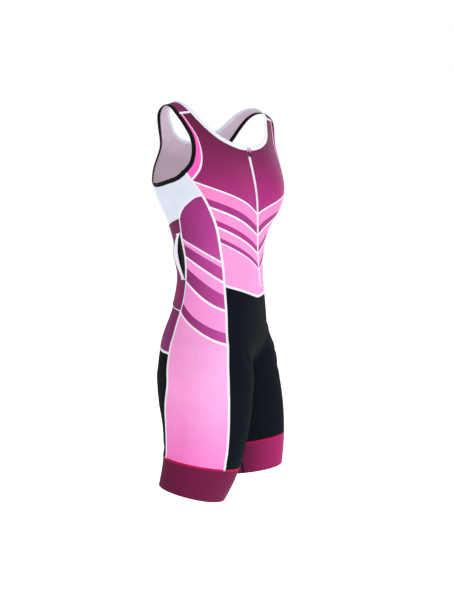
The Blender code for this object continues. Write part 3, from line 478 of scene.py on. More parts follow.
def panel(name, spots, sides, skins, lift=0.0, prints=None, cells=None, thickness=CLOTH, closed=False):
    """A thin shell of cloth on spots of one half, or of both halves side by side. skins are the
    materials of its outer and inner face, and prints the two values a spot that its print goes by."""
    made, normals, cloth, shown = [], [], [], []
    for side in sides:
        placed, out = surface(spots, side, lift)
        flat = on_form(spots)
        steps = np.linalg.norm(np.diff(flat, axis=1), axis=-1)
        across = np.concatenate([np.zeros((len(flat), 1)), np.cumsum(steps, axis=1)], 1)
        across -= across[:, across.shape[1] // 2, None]
        order = slice(None) if side == sides[0] else slice(None, None, -1)
        made.append(placed[:, order])
        normals.append(out[:, order])
        cloth.append(np.stack([across * side, spots[..., 1]], -1)[:, order])
        shown.append((spots if prints is None else prints)[:, order])
    made, normals, cloth, shown = (np.concatenate(parts, 1) for parts in (made, normals, cloth, shown))
    piece = shaped_grid(name, made, {"cloth": cloth, "print": shown}, cells, normals,
                        welded=closed or len(sides) == 2)
    for skin in skins:
        piece.data.materials.append(skin)
    modified(piece, "SOLIDIFY", thickness=thickness, offset=-1, material_offset=1, material_offset_rim=1)
    bpy.ops.object.shade_smooth_by_angle(angle=radians(40))
    return piece


def fitted(piece, nodes, body="suit"):
    """The piece stands for its solids, which are hidden, and rides on a body."""
    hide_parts(*nodes)
    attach(piece, body)


def worn(piece, nodes):
    """The piece is fitted: it stands for its solids and rides on the suit."""
    fitted(piece, nodes)


def linear(code):
    """A colour code as linear red, green, blue and alpha."""
    values = [int(code[i:i + 2], 16) / 255 for i in (1, 3, 5)]
    return (*(v / 12.92 if v <= 0.04045 else ((v + 0.055) / 1.055) ** 2.4 for v in values), 1)


def plugged(tree, made, inputs):
    """The node with its sockets set to values, or linked from other nodes' sockets."""
    for key, value in inputs.items():
        if isinstance(value, bpy.types.NodeSocket):
            tree.links.new(value, made.inputs[key])
        else:
            made.inputs[key].default_value = value
    return made


def node(tree, kind, inputs=(), **settings):
    """A new node with its settings, plugged in."""
    made = tree.nodes.new(kind)
    for key, value in settings.items():
        setattr(made, key, value)
    return plugged(tree, made, dict(inputs))


def new_material(name):
    """A material, its nodes and its shader."""
    made = bpy.data.materials.new(name)
    made.use_nodes = True
    return made, made.node_tree, made.node_tree.nodes["Principled BSDF"]


def maths(tree, operation, *values):
    return node(tree, "ShaderNodeMath", dict(enumerate(values)), operation=operation).outputs[0]


def ramp(tree, factor, stops, interpolation="LINEAR"):
    """A colour ramp through (position, colour code) stops."""
    made = node(tree, "ShaderNodeValToRGB", {"Fac": factor})
    made.color_ramp.interpolation = interpolation
    elements = made.color_ramp.elements
    while len(elements) > 1:
        elements.remove(elements[-1])
    elements[0].position, elements[0].color = stops[0][0], linear(stops[0][1])
    for position, code in stops[1:]:
        elements.new(position).color = linear(code)
    return made.outputs["Color"]


def in_range(tree, value, low, high):
    """0 at low, 1 at high."""
    return node(tree, "ShaderNodeMapRange", {"Value": value, "From Min": low, "From Max": high}).outputs[0]


def noise(tree, scale, detail=2.0):
    """Noise that is fixed to the piece."""
    place = node(tree, "ShaderNodeTexCoord").outputs["Object"]
    return node(tree, "ShaderNodeTexNoise", {"Vector": place, "Scale": scale, "Detail": detail}).outputs[0]


def one_colour(tree, code):
    colour = node(tree, "ShaderNodeRGB").outputs[0]
    colour.default_value = linear(code)
    return colour


def toned(tree, colour, tone):
    """The colour made lighter or darker by a share."""
    return node(tree, "ShaderNodeVectorMath", {0: colour, 3: tone}, operation="SCALE").outputs[0]


def relief(tree, height, strength, depth):
    raised = node(tree, "ShaderNodeBump", {"Height": height, "Strength": strength, "Distance": depth})
    return raised.outputs[0]


WALE_RELIEF, STITCH_RELIEF = 1.2, 0.8
CLOUD_SCALE, CLOUD_SHARE = 28.0, 0.4
MOTTLE_SCALE, MOTTLE_SHARE = 380.0, 0.6


def knit_group():
    """The fine knit of the panels: wales run down the cloth, and each stitch is a small V in them."""
    tree = bpy.data.node_groups.new("knit", "ShaderNodeTree")
    for title, kind, way in (("Cloth", "NodeSocketVector", "INPUT"), ("Wale", "NodeSocketFloat", "INPUT"),
                             ("Unevenness", "NodeSocketFloat", "INPUT"),
                             ("Height", "NodeSocketFloat", "OUTPUT"), ("Tone", "NodeSocketFloat", "OUTPUT")):
        tree.interface.new_socket(title, in_out=way, socket_type=kind)
    given = node(tree, "NodeGroupInput").outputs
    x, y, _ = node(tree, "ShaderNodeSeparateXYZ", {0: given["Cloth"]}).outputs
    column = maths(tree, "DIVIDE", x, given["Wale"])
    course = maths(tree, "DIVIDE", y, given["Wale"])
    edge = maths(tree, "PINGPONG", column, 0.5)
    leg = maths(tree, "PINGPONG", maths(tree, "ADD", course, edge), 0.5)
    height = maths(tree, "ADD", maths(tree, "MULTIPLY", edge, WALE_RELIEF),
                   maths(tree, "MULTIPLY", leg, STITCH_RELIEF))
    both = maths(tree, "ADD", maths(tree, "MULTIPLY", noise(tree, CLOUD_SCALE, 3.0), CLOUD_SHARE),
                 maths(tree, "MULTIPLY", noise(tree, MOTTLE_SCALE), MOTTLE_SHARE))
    tone = maths(tree, "MULTIPLY", maths(tree, "SUBTRACT", both, 0.5), given["Unevenness"])
    node(tree, "NodeGroupOutput", {"Height": height, "Tone": maths(tree, "ADD", tone, 1.0)})
    return tree


knit = knit_group()


def cloth_material(name, painted, wale=0.0007, roughness=0.6, sheen=0.015, specular=0.12, bump=0.4,
                   uneven=0.30):
    """Knitted cloth. painted gives its colour from the tree, the print map's two values and the height."""
    made, tree, shader = new_material(name)
    cloth, shown = (node(tree, "ShaderNodeUVMap", uv_map=title).outputs[0] for title in ("cloth", "print"))
    level, second, _ = node(tree, "ShaderNodeSeparateXYZ", {0: shown}).outputs
    height = node(tree, "ShaderNodeSeparateXYZ", {0: cloth}).outputs[1]
    weave = node(tree, "ShaderNodeGroup", {"Cloth": cloth, "Wale": wale, "Unevenness": uneven},
                 node_tree=knit)
    tone = weave.outputs["Tone"]
    plugged(tree, shader, {
        "Base Color": toned(tree, painted(tree, level, second, height), tone),
        "Normal": relief(tree, weave.outputs["Height"], bump, 0.0001),
        "Roughness": maths(tree, "MULTIPLY", tone, roughness),
        "Sheen Weight": sheen, "Sheen Roughness": 0.35, "Specular IOR Level": specular})
    return made


def plain(code):
    """A painter of one colour."""
    def painted(tree, level, second, height):
        return one_colour(tree, code)
    return painted


COLOUR_A, COLOUR_B, COLOUR_OUT = 6, 7, 2  # the Mix node's sockets for colours


def mixed(tree, factor, first, second, blend="MIX"):
    """Two colours mixed, all first at factor 0 and all second at 1."""
    return node(tree, "ShaderNodeMix", {"Factor": factor, COLOUR_A: first, COLOUR_B: second},
                data_type="RGBA", blend_type=blend).outputs[COLOUR_OUT]


PLUM_FADE = [(0.0, "#bb3590"), (0.30, "#b03086"), (0.55, "#a02a70"), (0.80, "#7e2256"), (1.0, "#66193f")]
PLUM_HEIGHTS = (-0.300, -0.060)
CHEVRON_SLOPE = 0.00105  # metres up for each degree from the zip
CHEVRONS = [  # the level where each band begins, from the waist up, and its colour; None is the plum fade
    (-0.450, "#fc9edb"), (-0.356, "#fff4fb"), (-0.352, "#a93a8c"), (-0.343, "#fb97d4"), (-0.322, "#fff4fb"),
    (-0.318, "#b0328a"), (-0.305, "#fb92cf"), (-0.281, "#fff4fb"), (-0.277, "#a33482"), (-0.262, "#fa8ac8"),
    (-0.235, "#fff4fb"), (-0.231, None),
]
CHEVRON_RANGE = (-0.450, -0.080)
RIM_BAND = (0.78, 1.0)  # where the armhole's pink band turns white, and ends
RIM_WIDTH = 0.004  # of that band at the shoulder
RIM_WIDENS = 0.014  # and how much wider it is lower down
RIM_HEIGHTS = (0.060, 0.150)  # below the shoulders, where it begins and ends to widen
RIM_STEPS = 400  # steps of the armhole's line that the distance is taken from


def front_print(tree, level, second, height):
    """Nested chevrons that point down the zip, under a plum chest, and a pink band along the armhole."""
    fade = ramp(tree, in_range(tree, height, *PLUM_HEIGHTS), PLUM_FADE)
    low, high = CHEVRON_RANGE
    stops = [((start - low) / (high - low), code or "#000000") for start, code in CHEVRONS]
    along = in_range(tree, level, low, high)
    bands = ramp(tree, along, stops, "CONSTANT")
    last = (CHEVRONS[-1][0] - low) / (high - low)
    chest = maths(tree, "GREATER_THAN", along, last)
    painted = mixed(tree, chest, bands, fade)
    rim = ramp(tree, second, [(0.0, "#ff62c4"), (RIM_BAND[0], "#fff4fb")], "CONSTANT")
    on_rim = maths(tree, "LESS_THAN", second, RIM_BAND[1])
    return mixed(tree, on_rim, painted, rim)


printed_knit = cloth_material("printed_knit", front_print)
pale_reverse = cloth_material("pale_reverse", plain("#e9d3e2"))

neck_front = evened(by_angle(NECK, 0, SHOULDER_NECK_ANGLE, EVEN_FROM), FRONT_STEPS)
shoulder_seam = line(neck_front[-1], ARMHOLE[ARMHOLE_SHOULDER], SHOULDER_STEPS)
armhole_front = round_armhole(0, ARMHOLE_SHOULDER, ARMHOLE_FRONT_STEPS)
side_front_top = by_height(SIDE_FRONT, ARMHOLE[0][1], UNDERARM_CURVE["height"][0], UNDERARM_STEPS)
side_front_waist = WAIST["height"][-1]
side_front_middle = by_height(SIDE_FRONT, UNDERARM_CURVE["height"][0], side_front_waist, WAIST_ROWS)
waist_seam = evened(by_angle(WAIST, 0, WAIST["angle"][-1], EVEN_FROM), FRONT_STEPS)
waist_seam[-1] = side_front_middle[-1]
front_rows = SHOULDER_STEPS + ARMHOLE_FRONT_STEPS + UNDERARM_STEPS + WAIST_ROWS
front_middle = line((0, neck_front[0, 1]), (0, waist_seam[0, 1]), front_rows)
zip_side = beside(front_middle, ZIP_SLOT)
front_middle[:, 0] = zip_side[:, 0] * ease(front_middle[:, 1], ZIP_END - SLOT_CLOSES, ZIP_END)
front_outer = chained(shoulder_seam, armhole_front[::-1], side_front_top, side_front_middle)
front_spots = patch(front_middle, front_outer, neck_front, waist_seam)


def distance_to(spots, border):
    """How far each spot is from a line of spots, across the form."""
    points, edge = on_form(spots), on_form(border)
    return np.linalg.norm(points[:, :, None] - edge[None, None], axis=-1).min(-1)


rim_width = RIM_WIDTH + RIM_WIDENS * ease(-front_spots[..., 1], *RIM_HEIGHTS)
rim_level = distance_to(front_spots, evened(armhole_front, RIM_STEPS)) / rim_width
front_level = front_spots[..., 1] - CHEVRON_SLOPE * front_spots[..., 0]
for side, which in SIDES:
    front = panel(f"front_cloth_{which}", front_spots, [side], (printed_knit, pale_reverse),
                  prints=np.stack([front_level, rim_level], -1))
    worn(front, [f"front_{which}"])

# ---- The underarm panels ----
# White airy knit under each arm, from the side-front seam round to the back, for ventilation. Sewn
# flat to the panels around it.
ARMHOLE_BACK = 13  # the armhole's row at the back seam
ARMHOLE_BACK_STEPS = 10 * FINE
SIDE_STEPS = 7 * FINE
UNDER_BACK_STEPS = 5 * FINE
BACK_SEAM_FOOT = 140
UNDER_BACK = {"angle": [92, 101, 112, 140, 180], "height": [-0.242, -0.247, -0.253, -0.262, -0.268]}
MOUTH = {  # the band round the pocket's mouth: heights, and the angles of its front and rear edges
    "height": [-0.242, -0.257, -0.272, -0.287, -0.303, -0.319, -0.335, -0.351, -0.367, -0.396, -0.424],
    "front": [94.0, 97.0, 99.5, 106.0, 110.5, 112.5, 112.5, 110.0, 106.3, 107.8, 109.5],
    "rear": [98.0, 101.0, 104.5, 112.0, 117.5, 119.5, 119.5, 116.5, 111.3, 112.0, 113.0],
}


def on_line(table, first, last, steps):
    """Spots at the angles listed first, and from there on in even steps to the last."""
    coarse = np.concatenate([first, np.linspace(first[-1], last, steps // FINE - len(first) + 2)[1:]])
    angles = np.interp(np.arange(steps + 1) / FINE, np.arange(len(coarse)), coarse)
    return np.stack([angles, at(table, "height", angles)], -1)


armhole_back = round_armhole(ARMHOLE_SHOULDER, ARMHOLE_BACK, ARMHOLE_BACK_STEPS)
armhole_under = round_armhole(ARMHOLE_BACK, 0, SIDE_STEPS + UNDER_BACK_STEPS)
underarm_ends = UNDERARM_CURVE["angle"][0], UNDERARM_CURVE["angle"][-1]
underarm_curve = evened(by_angle(UNDERARM_CURVE, *underarm_ends, EVEN_FROM), SIDE_STEPS)
underarm_curve[0] = side_front_top[-1]
mouth_top = [underarm_ends[1], MOUTH["front"][0], MOUTH["rear"][0]]
under_back_side = on_line(UNDER_BACK, mouth_top, BACK_SEAM_FOOT, UNDER_BACK_STEPS)
back_seam = line(armhole_back[-1], under_back_side[-1], UNDERARM_STEPS)
underarm_foot = chained(underarm_curve, under_back_side)
underarm_spots = patch(side_front_top, back_seam, armhole_under[::-1], underarm_foot)
airy_knit = cloth_material("airy_knit", plain("#dfe5f3"), wale=0.0013, roughness=0.7, bump=0.8)
for side, which in SIDES:
    underarm = panel(f"underarm_cloth_{which}", underarm_spots, [side], (airy_knit, airy_knit))
    worn(underarm, [f"underarm_{which}"])

# ---- The side panels ----
# One long printed panel each side, from the curved seam under the arm to the leg band: purple with
# slanting white lines and pink bands down to the hip, and plain pink below.
RISE_ROWS = 8 * FINE
SEAT_ROWS = 4 * FINE
POCKET_ROWS = 10 * FINE
LOWER_BACK_ROWS = 4 * FINE
INSEAM_ROWS = 7 * FINE
CROTCH_LEVEL = -0.604
LEG_BAND_TOP = -0.752
POCKET_FOOT_SIDE = -0.424
SEAT_SIDE = -0.511
SIDE_BACK = {
    "height": [-0.752, -0.690, -0.620, -0.560, -0.510, -0.460, -0.424, -0.375, -0.330, -0.290, -0.242],
    "angle": [143, 144, 138, 131, 122, 113, 107.5, 104.5, 101.5, 99.5, 92],
}
STRIPE_SLOPE = 0.0013  # metres up for each degree towards the back
STRIPE_SPAN = 46  # degrees over which a stripe that bows keeps that rise
STRIPE_BOWS = 0.55  # how much the lowest stripes bow: 0 is straight
BOW_HEIGHTS = (0.330, 0.440)  # below the shoulders, where the bow begins and is full
STRIPE_MIDDLE = 61  # the angle from which a stripe rises
STRIPE_RANGE = (-0.800, -0.200)
REAR, FRONT = 104, 58  # the angles that the two colours of a stripe belong to
# The front colour of each pair is lighter partly in the print and partly as painted light, where more light
# falls on the front of the hip.
LEG_PINK, BAND_PINK, PURPLE, LINE_WHITE = (  # each at the rear and at the front
    ("#fb9fdb", "#ffb4ec"), ("#fb95d9", "#ffa4e6"), ("#8c2b6c", "#c94fa7"), ("#fff4fb", "#fff4fb"))
STRIPES = [  # the level at the side-front seam where each stripe begins, from the lowest up
    (-0.8000, LEG_PINK), (-0.4908, LINE_WHITE), (-0.4862, PURPLE), (-0.4688, BAND_PINK),
    (-0.4288, LINE_WHITE), (-0.4242, PURPLE), (-0.3987, BAND_PINK), (-0.3768, LINE_WHITE),
    (-0.3722, PURPLE), (-0.3459, BAND_PINK), (-0.3364, LINE_WHITE), (-0.3318, PURPLE),
]
PANEL_HEIGHTS = (-0.752, -0.195)
# Painted shade multiplied over the stripes: darker under the arm at the top and deeper pink at the foot,
# where less light falls.
PANEL_PAINTED_SHADE = [(0.0, "#fbc4e9"), (0.27, "#ffffff"), (0.76, "#ffffff"), (0.88, "#e6d3e2"), (1.0, "#d2b0ca")]


def down_the_leg(table, top, rows):
    """A side seam, with a row for each of the middle line and of the inseam."""
    return chained(by_height(table, top, CROTCH_LEVEL, rows),
                   by_height(table, CROTCH_LEVEL, LEG_BAND_TOP, INSEAM_ROWS))


def side_paint(tree, level, second, height):
    """Slanting stripes, deeper in colour towards the back and at both ends of the panel: towards the back
    partly print and partly painted shade, and at the ends painted shade.
    """
    low, high = STRIPE_RANGE
    along = in_range(tree, level, low, high)
    rear, front = (ramp(tree, along, [((start - low) / (high - low), pair[end]) for start, pair in STRIPES],
                        "CONSTANT") for end in (0, 1))
    striped = mixed(tree, in_range(tree, second, REAR, FRONT), rear, front)
    painted_shade = ramp(tree, in_range(tree, height, *PANEL_HEIGHTS), PANEL_PAINTED_SHADE)
    return mixed(tree, 1.0, striped, painted_shade, "MULTIPLY")


side_front_leg = down_the_leg(SIDE_FRONT, side_front_waist, RISE_ROWS)
mouth_rows = np.arange(POCKET_ROWS + 1) / FINE
side_back_heights = np.interp(mouth_rows, np.arange(len(MOUTH["height"])), MOUTH["height"])
side_back_top = np.stack([at(SIDE_BACK, "angle", side_back_heights), side_back_heights], -1)
side_back_middle = by_height(SIDE_BACK, POCKET_FOOT_SIDE, SEAT_SIDE, LOWER_BACK_ROWS)
side_back_leg = down_the_leg(SIDE_BACK, SEAT_SIDE, SEAT_ROWS)
side_leg_foot = line(side_front_leg[-1], side_back_leg[-1], SIDE_STEPS)
side_spots = patch(chained(side_front_middle, side_front_leg),
                   chained(side_back_top, side_back_middle, side_back_leg), underarm_curve, side_leg_foot)
from_front = side_spots[..., 0] - STRIPE_MIDDLE
stripe_bow = STRIPE_BOWS * ease(-side_spots[..., 1], *BOW_HEIGHTS)
stripe_rise = from_front * (1 - stripe_bow) + from_front**2 / STRIPE_SPAN * stripe_bow
stripe_level = side_spots[..., 1] - STRIPE_SLOPE * stripe_rise
striped_knit = cloth_material("striped_knit", side_paint)
for side, which in SIDES:
    side_panel = panel(f"side_cloth_{which}", side_spots, [side], (striped_knit, pale_reverse),
                       prints=np.stack([stripe_level, side_spots[..., 0]], -1))
    worn(side_panel, [f"side_panel_{which}"])

# ---- The upper back ----
# One panel of plum knit across the shoulders, with both straps' back parts, from the shoulder seams
# to the seam under the shoulder blades.
NECK_BACK_STEPS = 9 * FINE
BACK_STEPS = 4 * FINE
PLUM_BACK = [(0.0, "#7a1f55"), (0.5, "#812a62"), (1.0, "#852b65")]  # lighter and more purple upwards
neck_back = evened(by_angle(NECK, SHOULDER_NECK_ANGLE, 180, EVEN_FROM), NECK_BACK_STEPS)
under_back_middle = by_angle(UNDER_BACK, BACK_SEAM_FOOT, 180, BACK_STEPS)
back_outer = chained(armhole_back, back_seam)
middle_steps = len(back_outer) - len(neck_back)
back_middle = line((180, neck_back[-1, 1]), (180, under_back_middle[-1, 1]), middle_steps)
across_strap = line(armhole_back[0], neck_back[0], BACK_STEPS)
back_spots = patch(back_outer, chained(neck_back, back_middle), across_strap, under_back_middle)
back_cells = np.ones((back_spots.shape[0] - 1, 2 * back_spots.shape[1] - 1), bool)
back_cells[:NECK_BACK_STEPS, back_spots.shape[1] - 1] = False


def fading(low, high, stops):
    """A painter of colours that change with the height, between two heights."""
    def painted(tree, level, second, height):
        return ramp(tree, in_range(tree, height, low, high), stops)
    return painted


plum_knit = cloth_material("plum_knit", fading(-0.270, -0.040, PLUM_BACK))
upper_back = panel("upper_back_cloth", back_spots, [-1, 1], (plum_knit, pale_reverse), cells=back_cells)
worn(upper_back, ["upper_back"])

# ---- The back waist, the rear pocket and the bands of its mouths ----
# An under panel coloured near black, painted shade for the inside of the pocket's mouths, and over it the
# pocket panel, sewn down all round but for a curved opening at each side. A folded white elastic band
# finishes each opening and stands a little off.
MOUTH_FROM, MOUTH_TO = 2 * FINE, 8 * FINE  # rows of the pocket between which it is open
MOUTH_GAPES = 0.0070  # how far the rear edge of the band stands off in its middle
GAPE_SHARES = (0, 0.4, 1, 0.6, 0)  # of that, from the side seam backwards
POCKET_LIFT = 0.0018
POCKET_FOOT = {"angle": [107.5, 134, 180], "height": [-0.424, -0.420, -0.419]}
MAROON_FADE = [(0.0, "#872560"), (0.7, "#7c2055"), (1.0, "#6c1a4b")]
back_steps = UNDER_BACK_STEPS + BACK_STEPS
mouth_foot = [POCKET_FOOT["angle"][0], MOUTH["front"][-1], MOUTH["rear"][-1]]
pocket_foot = on_line(POCKET_FOOT, mouth_foot, 180, back_steps)
waist_middle = line((180, under_back_middle[-1, 1]), (180, pocket_foot[-1, 1]), POCKET_ROWS)
waist_top = chained(under_back_side, under_back_middle)
waist_share = ease(np.linspace(0, 1, POCKET_ROWS + 1))
mouth_index = {"row": np.arange(len(MOUTH["height"])), **MOUTH}
mouth_lines = [side_back_top]
for column, edge in ((FINE, "front"), (2 * FINE, "rear")):
    heights = side_back_top[:, 1] + (waist_top[column, 1] - waist_top[0, 1]) * (1 - waist_share)
    heights += (pocket_foot[column, 1] - pocket_foot[0, 1]) * waist_share
    mouth_lines.append(np.stack([at(mouth_index, edge, mouth_rows), heights], -1))
strips = [np.linspace(a, b, FINE + 1, axis=1)[:, :-1] for a, b in zip(mouth_lines, mouth_lines[1:])]
waist_rest = patch(mouth_lines[2], waist_middle, waist_top[2 * FINE:], pocket_foot[2 * FINE:])
waist_spots = np.concatenate([*strips, waist_rest], 1)

gape_rows = np.clip((np.arange(POCKET_ROWS + 1) - MOUTH_FROM) / (MOUTH_TO - MOUTH_FROM), 0, 1)
gape_columns = np.interp(np.arange(waist_spots.shape[1]) / FINE, range(len(GAPE_SHARES)), GAPE_SHARES)
gape = MOUTH_GAPES * np.sin(pi * gape_rows)[:, None] ** 2 * gape_columns
waist_cells = np.ones((waist_spots.shape[0] - 1, waist_spots.shape[1] - 1), bool)
waist_cells[MOUTH_FROM:MOUTH_TO, :2 * FINE] = False
pocket_cells = np.concatenate([waist_cells, np.ones((POCKET_ROWS, 1), bool), waist_cells[:, ::-1]], 1)

# Near black as painted shade: it shows only inside the pocket's mouths and on the pocket's inner face.
pocket_shade_knit = cloth_material("pocket_shade_knit", plain("#1d0812"))
maroon_knit = cloth_material("maroon_knit", fading(-0.430, -0.240, MAROON_FADE))
back_waist = panel("back_waist_cloth", waist_spots, [-1, 1], (pocket_shade_knit, pale_reverse))
worn(back_waist, ["back_waist"])
pocket = panel("rear_pocket_cloth", waist_spots, [-1, 1], (maroon_knit, pocket_shade_knit),
               lift=POCKET_LIFT + gape, cells=pocket_cells)
worn(pocket, ["rear_pocket"])


def finished(piece, finish, sharpest):
    """The piece in one material, shaded smooth but for edges sharper than an angle in degrees."""
    piece.data.materials.clear()
    piece.data.materials.append(finish)
    bpy.ops.object.shade_smooth_by_angle(angle=radians(sharpest))
    return piece


def sealed(piece):
    """The piece with its open ends filled and its faces turned out."""
    edited(bpy.ops.mesh.fill_holes, sides=0)
    edited(bpy.ops.mesh.normals_make_consistent, inside=False)
    return piece


def folded_band(name, spots, sides, elastic, profile, closed=False, lift=0.0):
    """A folded band on spots that run across it and along it. profile has, for each line along it,
    how far the outer and the inner face stand out."""
    outer, inner = (np.array(column)[:, None] + lift for column in zip(*profile))
    parts = []
    for side in sides:
        faces = [surface(spots, side, outer)[0], surface(spots, side, inner)[0][::-1]]
        ring = np.concatenate(faces + [faces[0][:1]], 0)
        parts.append(ring if side == sides[0] else ring[:, -2::-1])
    ring = np.concatenate(parts, 1)
    if closed:
        ring = np.concatenate([ring, ring[:, :1]], 1)
    return finished(sealed(shaped_grid(name, ring, welded=True)), elastic, 50)


def elastic_material(name, code):
    """Folded knit elastic: a fine grain and faint clouds, in one colour."""
    made, tree, shader = new_material(name)
    grain, clouds = noise(tree, 1400.0), noise(tree, 60.0)
    tone = maths(tree, "ADD", maths(tree, "MULTIPLY", maths(tree, "ADD", grain, clouds), 0.12), 0.88)
    plugged(tree, shader, {
        "Base Color": toned(tree, one_colour(tree, code), tone), "Normal": relief(tree, grain, 0.5, 0.0002),
        "Roughness": 0.6, "Specular IOR Level": 0.1})
    return made


white_elastic = elastic_material("white_elastic", "#edf2fa")
MOUTH_BAND = [(0.0012, 0.0004), (0.0021, 0.0002), (0.0024, 0.0002), (0.0024, 0.0002), (0.0021, 0.0002),
              (0.0013, 0.0004)]
mouth = (slice(MOUTH_FROM, MOUTH_TO + 1), slice(FINE, 2 * FINE + 1))
mouth_spots = waist_spots[mouth].transpose(1, 0, 2)
for side, which in SIDES:
    band = folded_band(f"pocket_band_{which}", mouth_spots, [side], white_elastic, MOUTH_BAND,
                       lift=gape[mouth].T)
    fitted(band, [f"pocket_binding_{which}"])

# ---- The lower back ----
# One panel of plum knit over the top of the seat, from the pocket's foot to the seat seam. Flat seams
# join it to the panels around it.
SEAT = {"angle": [122, 144, 180], "height": [-0.511, -0.510, -0.506]}
FINE_HALVINGS = 40  # of the range in which the form is looked for at the middle
PURPLE_FADE = [(0.0, "#8c2b74"), (1.0, "#7a2058")]


def middle_angles(height):
    """Angles at which a height's form meets the middle, in front and behind."""
    x, y = eye(np.array(height))
    found = []
    for way in (-1, 1):
        near, far = 0.0, REACH
        for _ in range(FINE_HALVINGS):
            probe = (near + far) / 2
            inside = form(np.array(0.0), y + way * probe, np.array(height)) < 0
            near, far = (probe, far) if inside else (near, probe)
        found.append(near)
    return -degrees(atan2(x, found[0])), 180 + degrees(atan2(x, found[1]))


def middle_line(which, top, bottom, steps):
    heights = np.linspace(top, bottom, steps + 1)
    return np.array([(middle_angles(h)[which] if h < MIDDLE_MOVES[0] else 180.0 * which, h) for h in heights])


seat_seam = by_angle(SEAT, SEAT["angle"][0], 180, back_steps)
seat_seam[0] = side_back_middle[-1]
lower_middle = middle_line(1, pocket_foot[-1, 1], seat_seam[-1, 1], LOWER_BACK_ROWS)
lower_spots = patch(side_back_middle, lower_middle, pocket_foot, seat_seam)
lower_knit = cloth_material("lower_knit", fading(-0.520, -0.420, PURPLE_FADE))
lower_back = panel("lower_back_cloth", lower_spots, [-1, 1], (lower_knit, pale_reverse))
worn(lower_back, ["lower_back"])

# ---- The shorts' fronts and the seat ----
# Black denser knit: a front and a seat panel for each leg. The curved middle seam ends at the
# crotch point, and the inseam runs from there down to the leg band.
CROTCH_STEPS = 4 * FINE
INNER_LEG = (-90, 270)  # its angle, counted round the front and round the back


def crotch_line(which):
    """From where the middle line ends at the crotch to the crotch point, between the legs."""
    start = middle_angles(CROTCH)[which]
    return line((start, CROTCH), (INNER_LEG[which], CROTCH), CROTCH_STEPS)


def leg_panel(side, middle, top, crotch, foot):
    """Spots and cells of a panel from the side seam to the middle, and below the crotch to the inseam."""
    rise = len(middle) - 1
    across = line(side[rise], middle[-1], len(top) - 1)
    upper = patch(side[:rise + 1], middle, top, across)
    inseam = line(crotch[-1], (crotch[-1][0], LEG_BAND_TOP), INSEAM_ROWS)
    lower = patch(side[rise:], inseam, chained(across, crotch), foot)
    no_leg = np.repeat(upper[:-1, -1:], CROTCH_STEPS, axis=1)
    spots = np.concatenate([np.concatenate([upper[:-1], no_leg], 1), lower])
    cells = np.ones((spots.shape[0] - 1, spots.shape[1] - 1), bool)
    cells[:rise, len(top) - 1:] = False
    return spots, cells


front_leg_foot = line(side_front_leg[-1], (INNER_LEG[0], LEG_BAND_TOP), FRONT_STEPS + CROTCH_STEPS)
back_leg_foot = line(side_back_leg[-1], (INNER_LEG[1], LEG_BAND_TOP), back_steps + CROTCH_STEPS)
black_knit = cloth_material("black_knit", plain("#12161d"), roughness=0.8, sheen=0.0, specular=0.04,
                            uneven=0.5)
middles = [middle_line(0, waist_seam[0, 1], CROTCH, RISE_ROWS),
           middle_line(1, seat_seam[-1, 1], CROTCH, SEAT_ROWS)]
for side, which in SIDES:
    for title, end, seam_side, top, foot, flat, area in (
            ("shorts_front", 0, side_front_leg, waist_seam[::-1], front_leg_foot, (0.23, 0.37), 0.056),
            ("seat", 1, side_back_leg, seat_seam, back_leg_foot, (0.25, 0.28), 0.043)):
        spots, cells = leg_panel(seam_side, middles[end], top, crotch_line(end), foot)
        leg = panel(f"{title}_cloth_{which}", spots, [side], (black_knit, black_knit), cells=cells)
        edited(bpy.ops.mesh.delete_loose)
        worn(leg, [f"{title}_{which}"])

# ---- The leg bands ----
# Wide elastic bands, printed maroon, with a crimson upper edge. Each is closed by a black seam on the inner
# leg, with a white bar of stitches at its upper end.
LEG_BAND_ROWS = 4 * FINE
HEM = -0.820
BAND_COLOURS = {  # by the share of the way round from the inner leg, past the front
    "right": [(0.0, "#751b47"), (0.22, "#771d48"), (0.30, "#751b46"), (0.456, "#711944"), (0.667, "#601236"),
              (0.85, "#621339"), (1.0, "#751b47")],
    # The two bands are one print in lit and shaded copies: the left one's front is painted lighter, magenta,
    # as painted light where the lamps fall on it.
    "left": [(0.0, "#6a1a40"), (0.044, "#7a1c4c"), (0.10, "#8e2159"), (0.27, "#ae266b"), (0.36, "#8c1f55"),
             (0.456, "#711944"), (0.667, "#601236"), (0.944, "#62183c"), (1.0, "#6a1a40")],
}


def going_round(stops):
    """A painter of colours that change with the angle, once round the leg."""
    def painted(tree, level, second, height):
        return ramp(tree, in_range(tree, level, *INNER_LEG), stops)
    return painted


leg_top = chained(front_leg_foot[::-1], side_leg_foot, back_leg_foot)
leg_top = np.concatenate([leg_top[:-1], leg_top[:1] + [360, 0]])
band_spots = np.linspace(leg_top, leg_top + [0, HEM - LEG_BAND_TOP], LEG_BAND_ROWS + 1)
for side, which in SIDES:
    band_knit = cloth_material(f"band_knit_{which}", going_round(BAND_COLOURS[which]), wale=0.0011,
                               roughness=0.7, bump=0.8, sheen=0.02, specular=0.1)
    leg_band = panel(f"leg_band_cloth_{which}", band_spots, [side], (band_knit, pale_reverse),
                     thickness=0.0012, closed=True)
    worn(leg_band, [f"leg_band_{which}"])

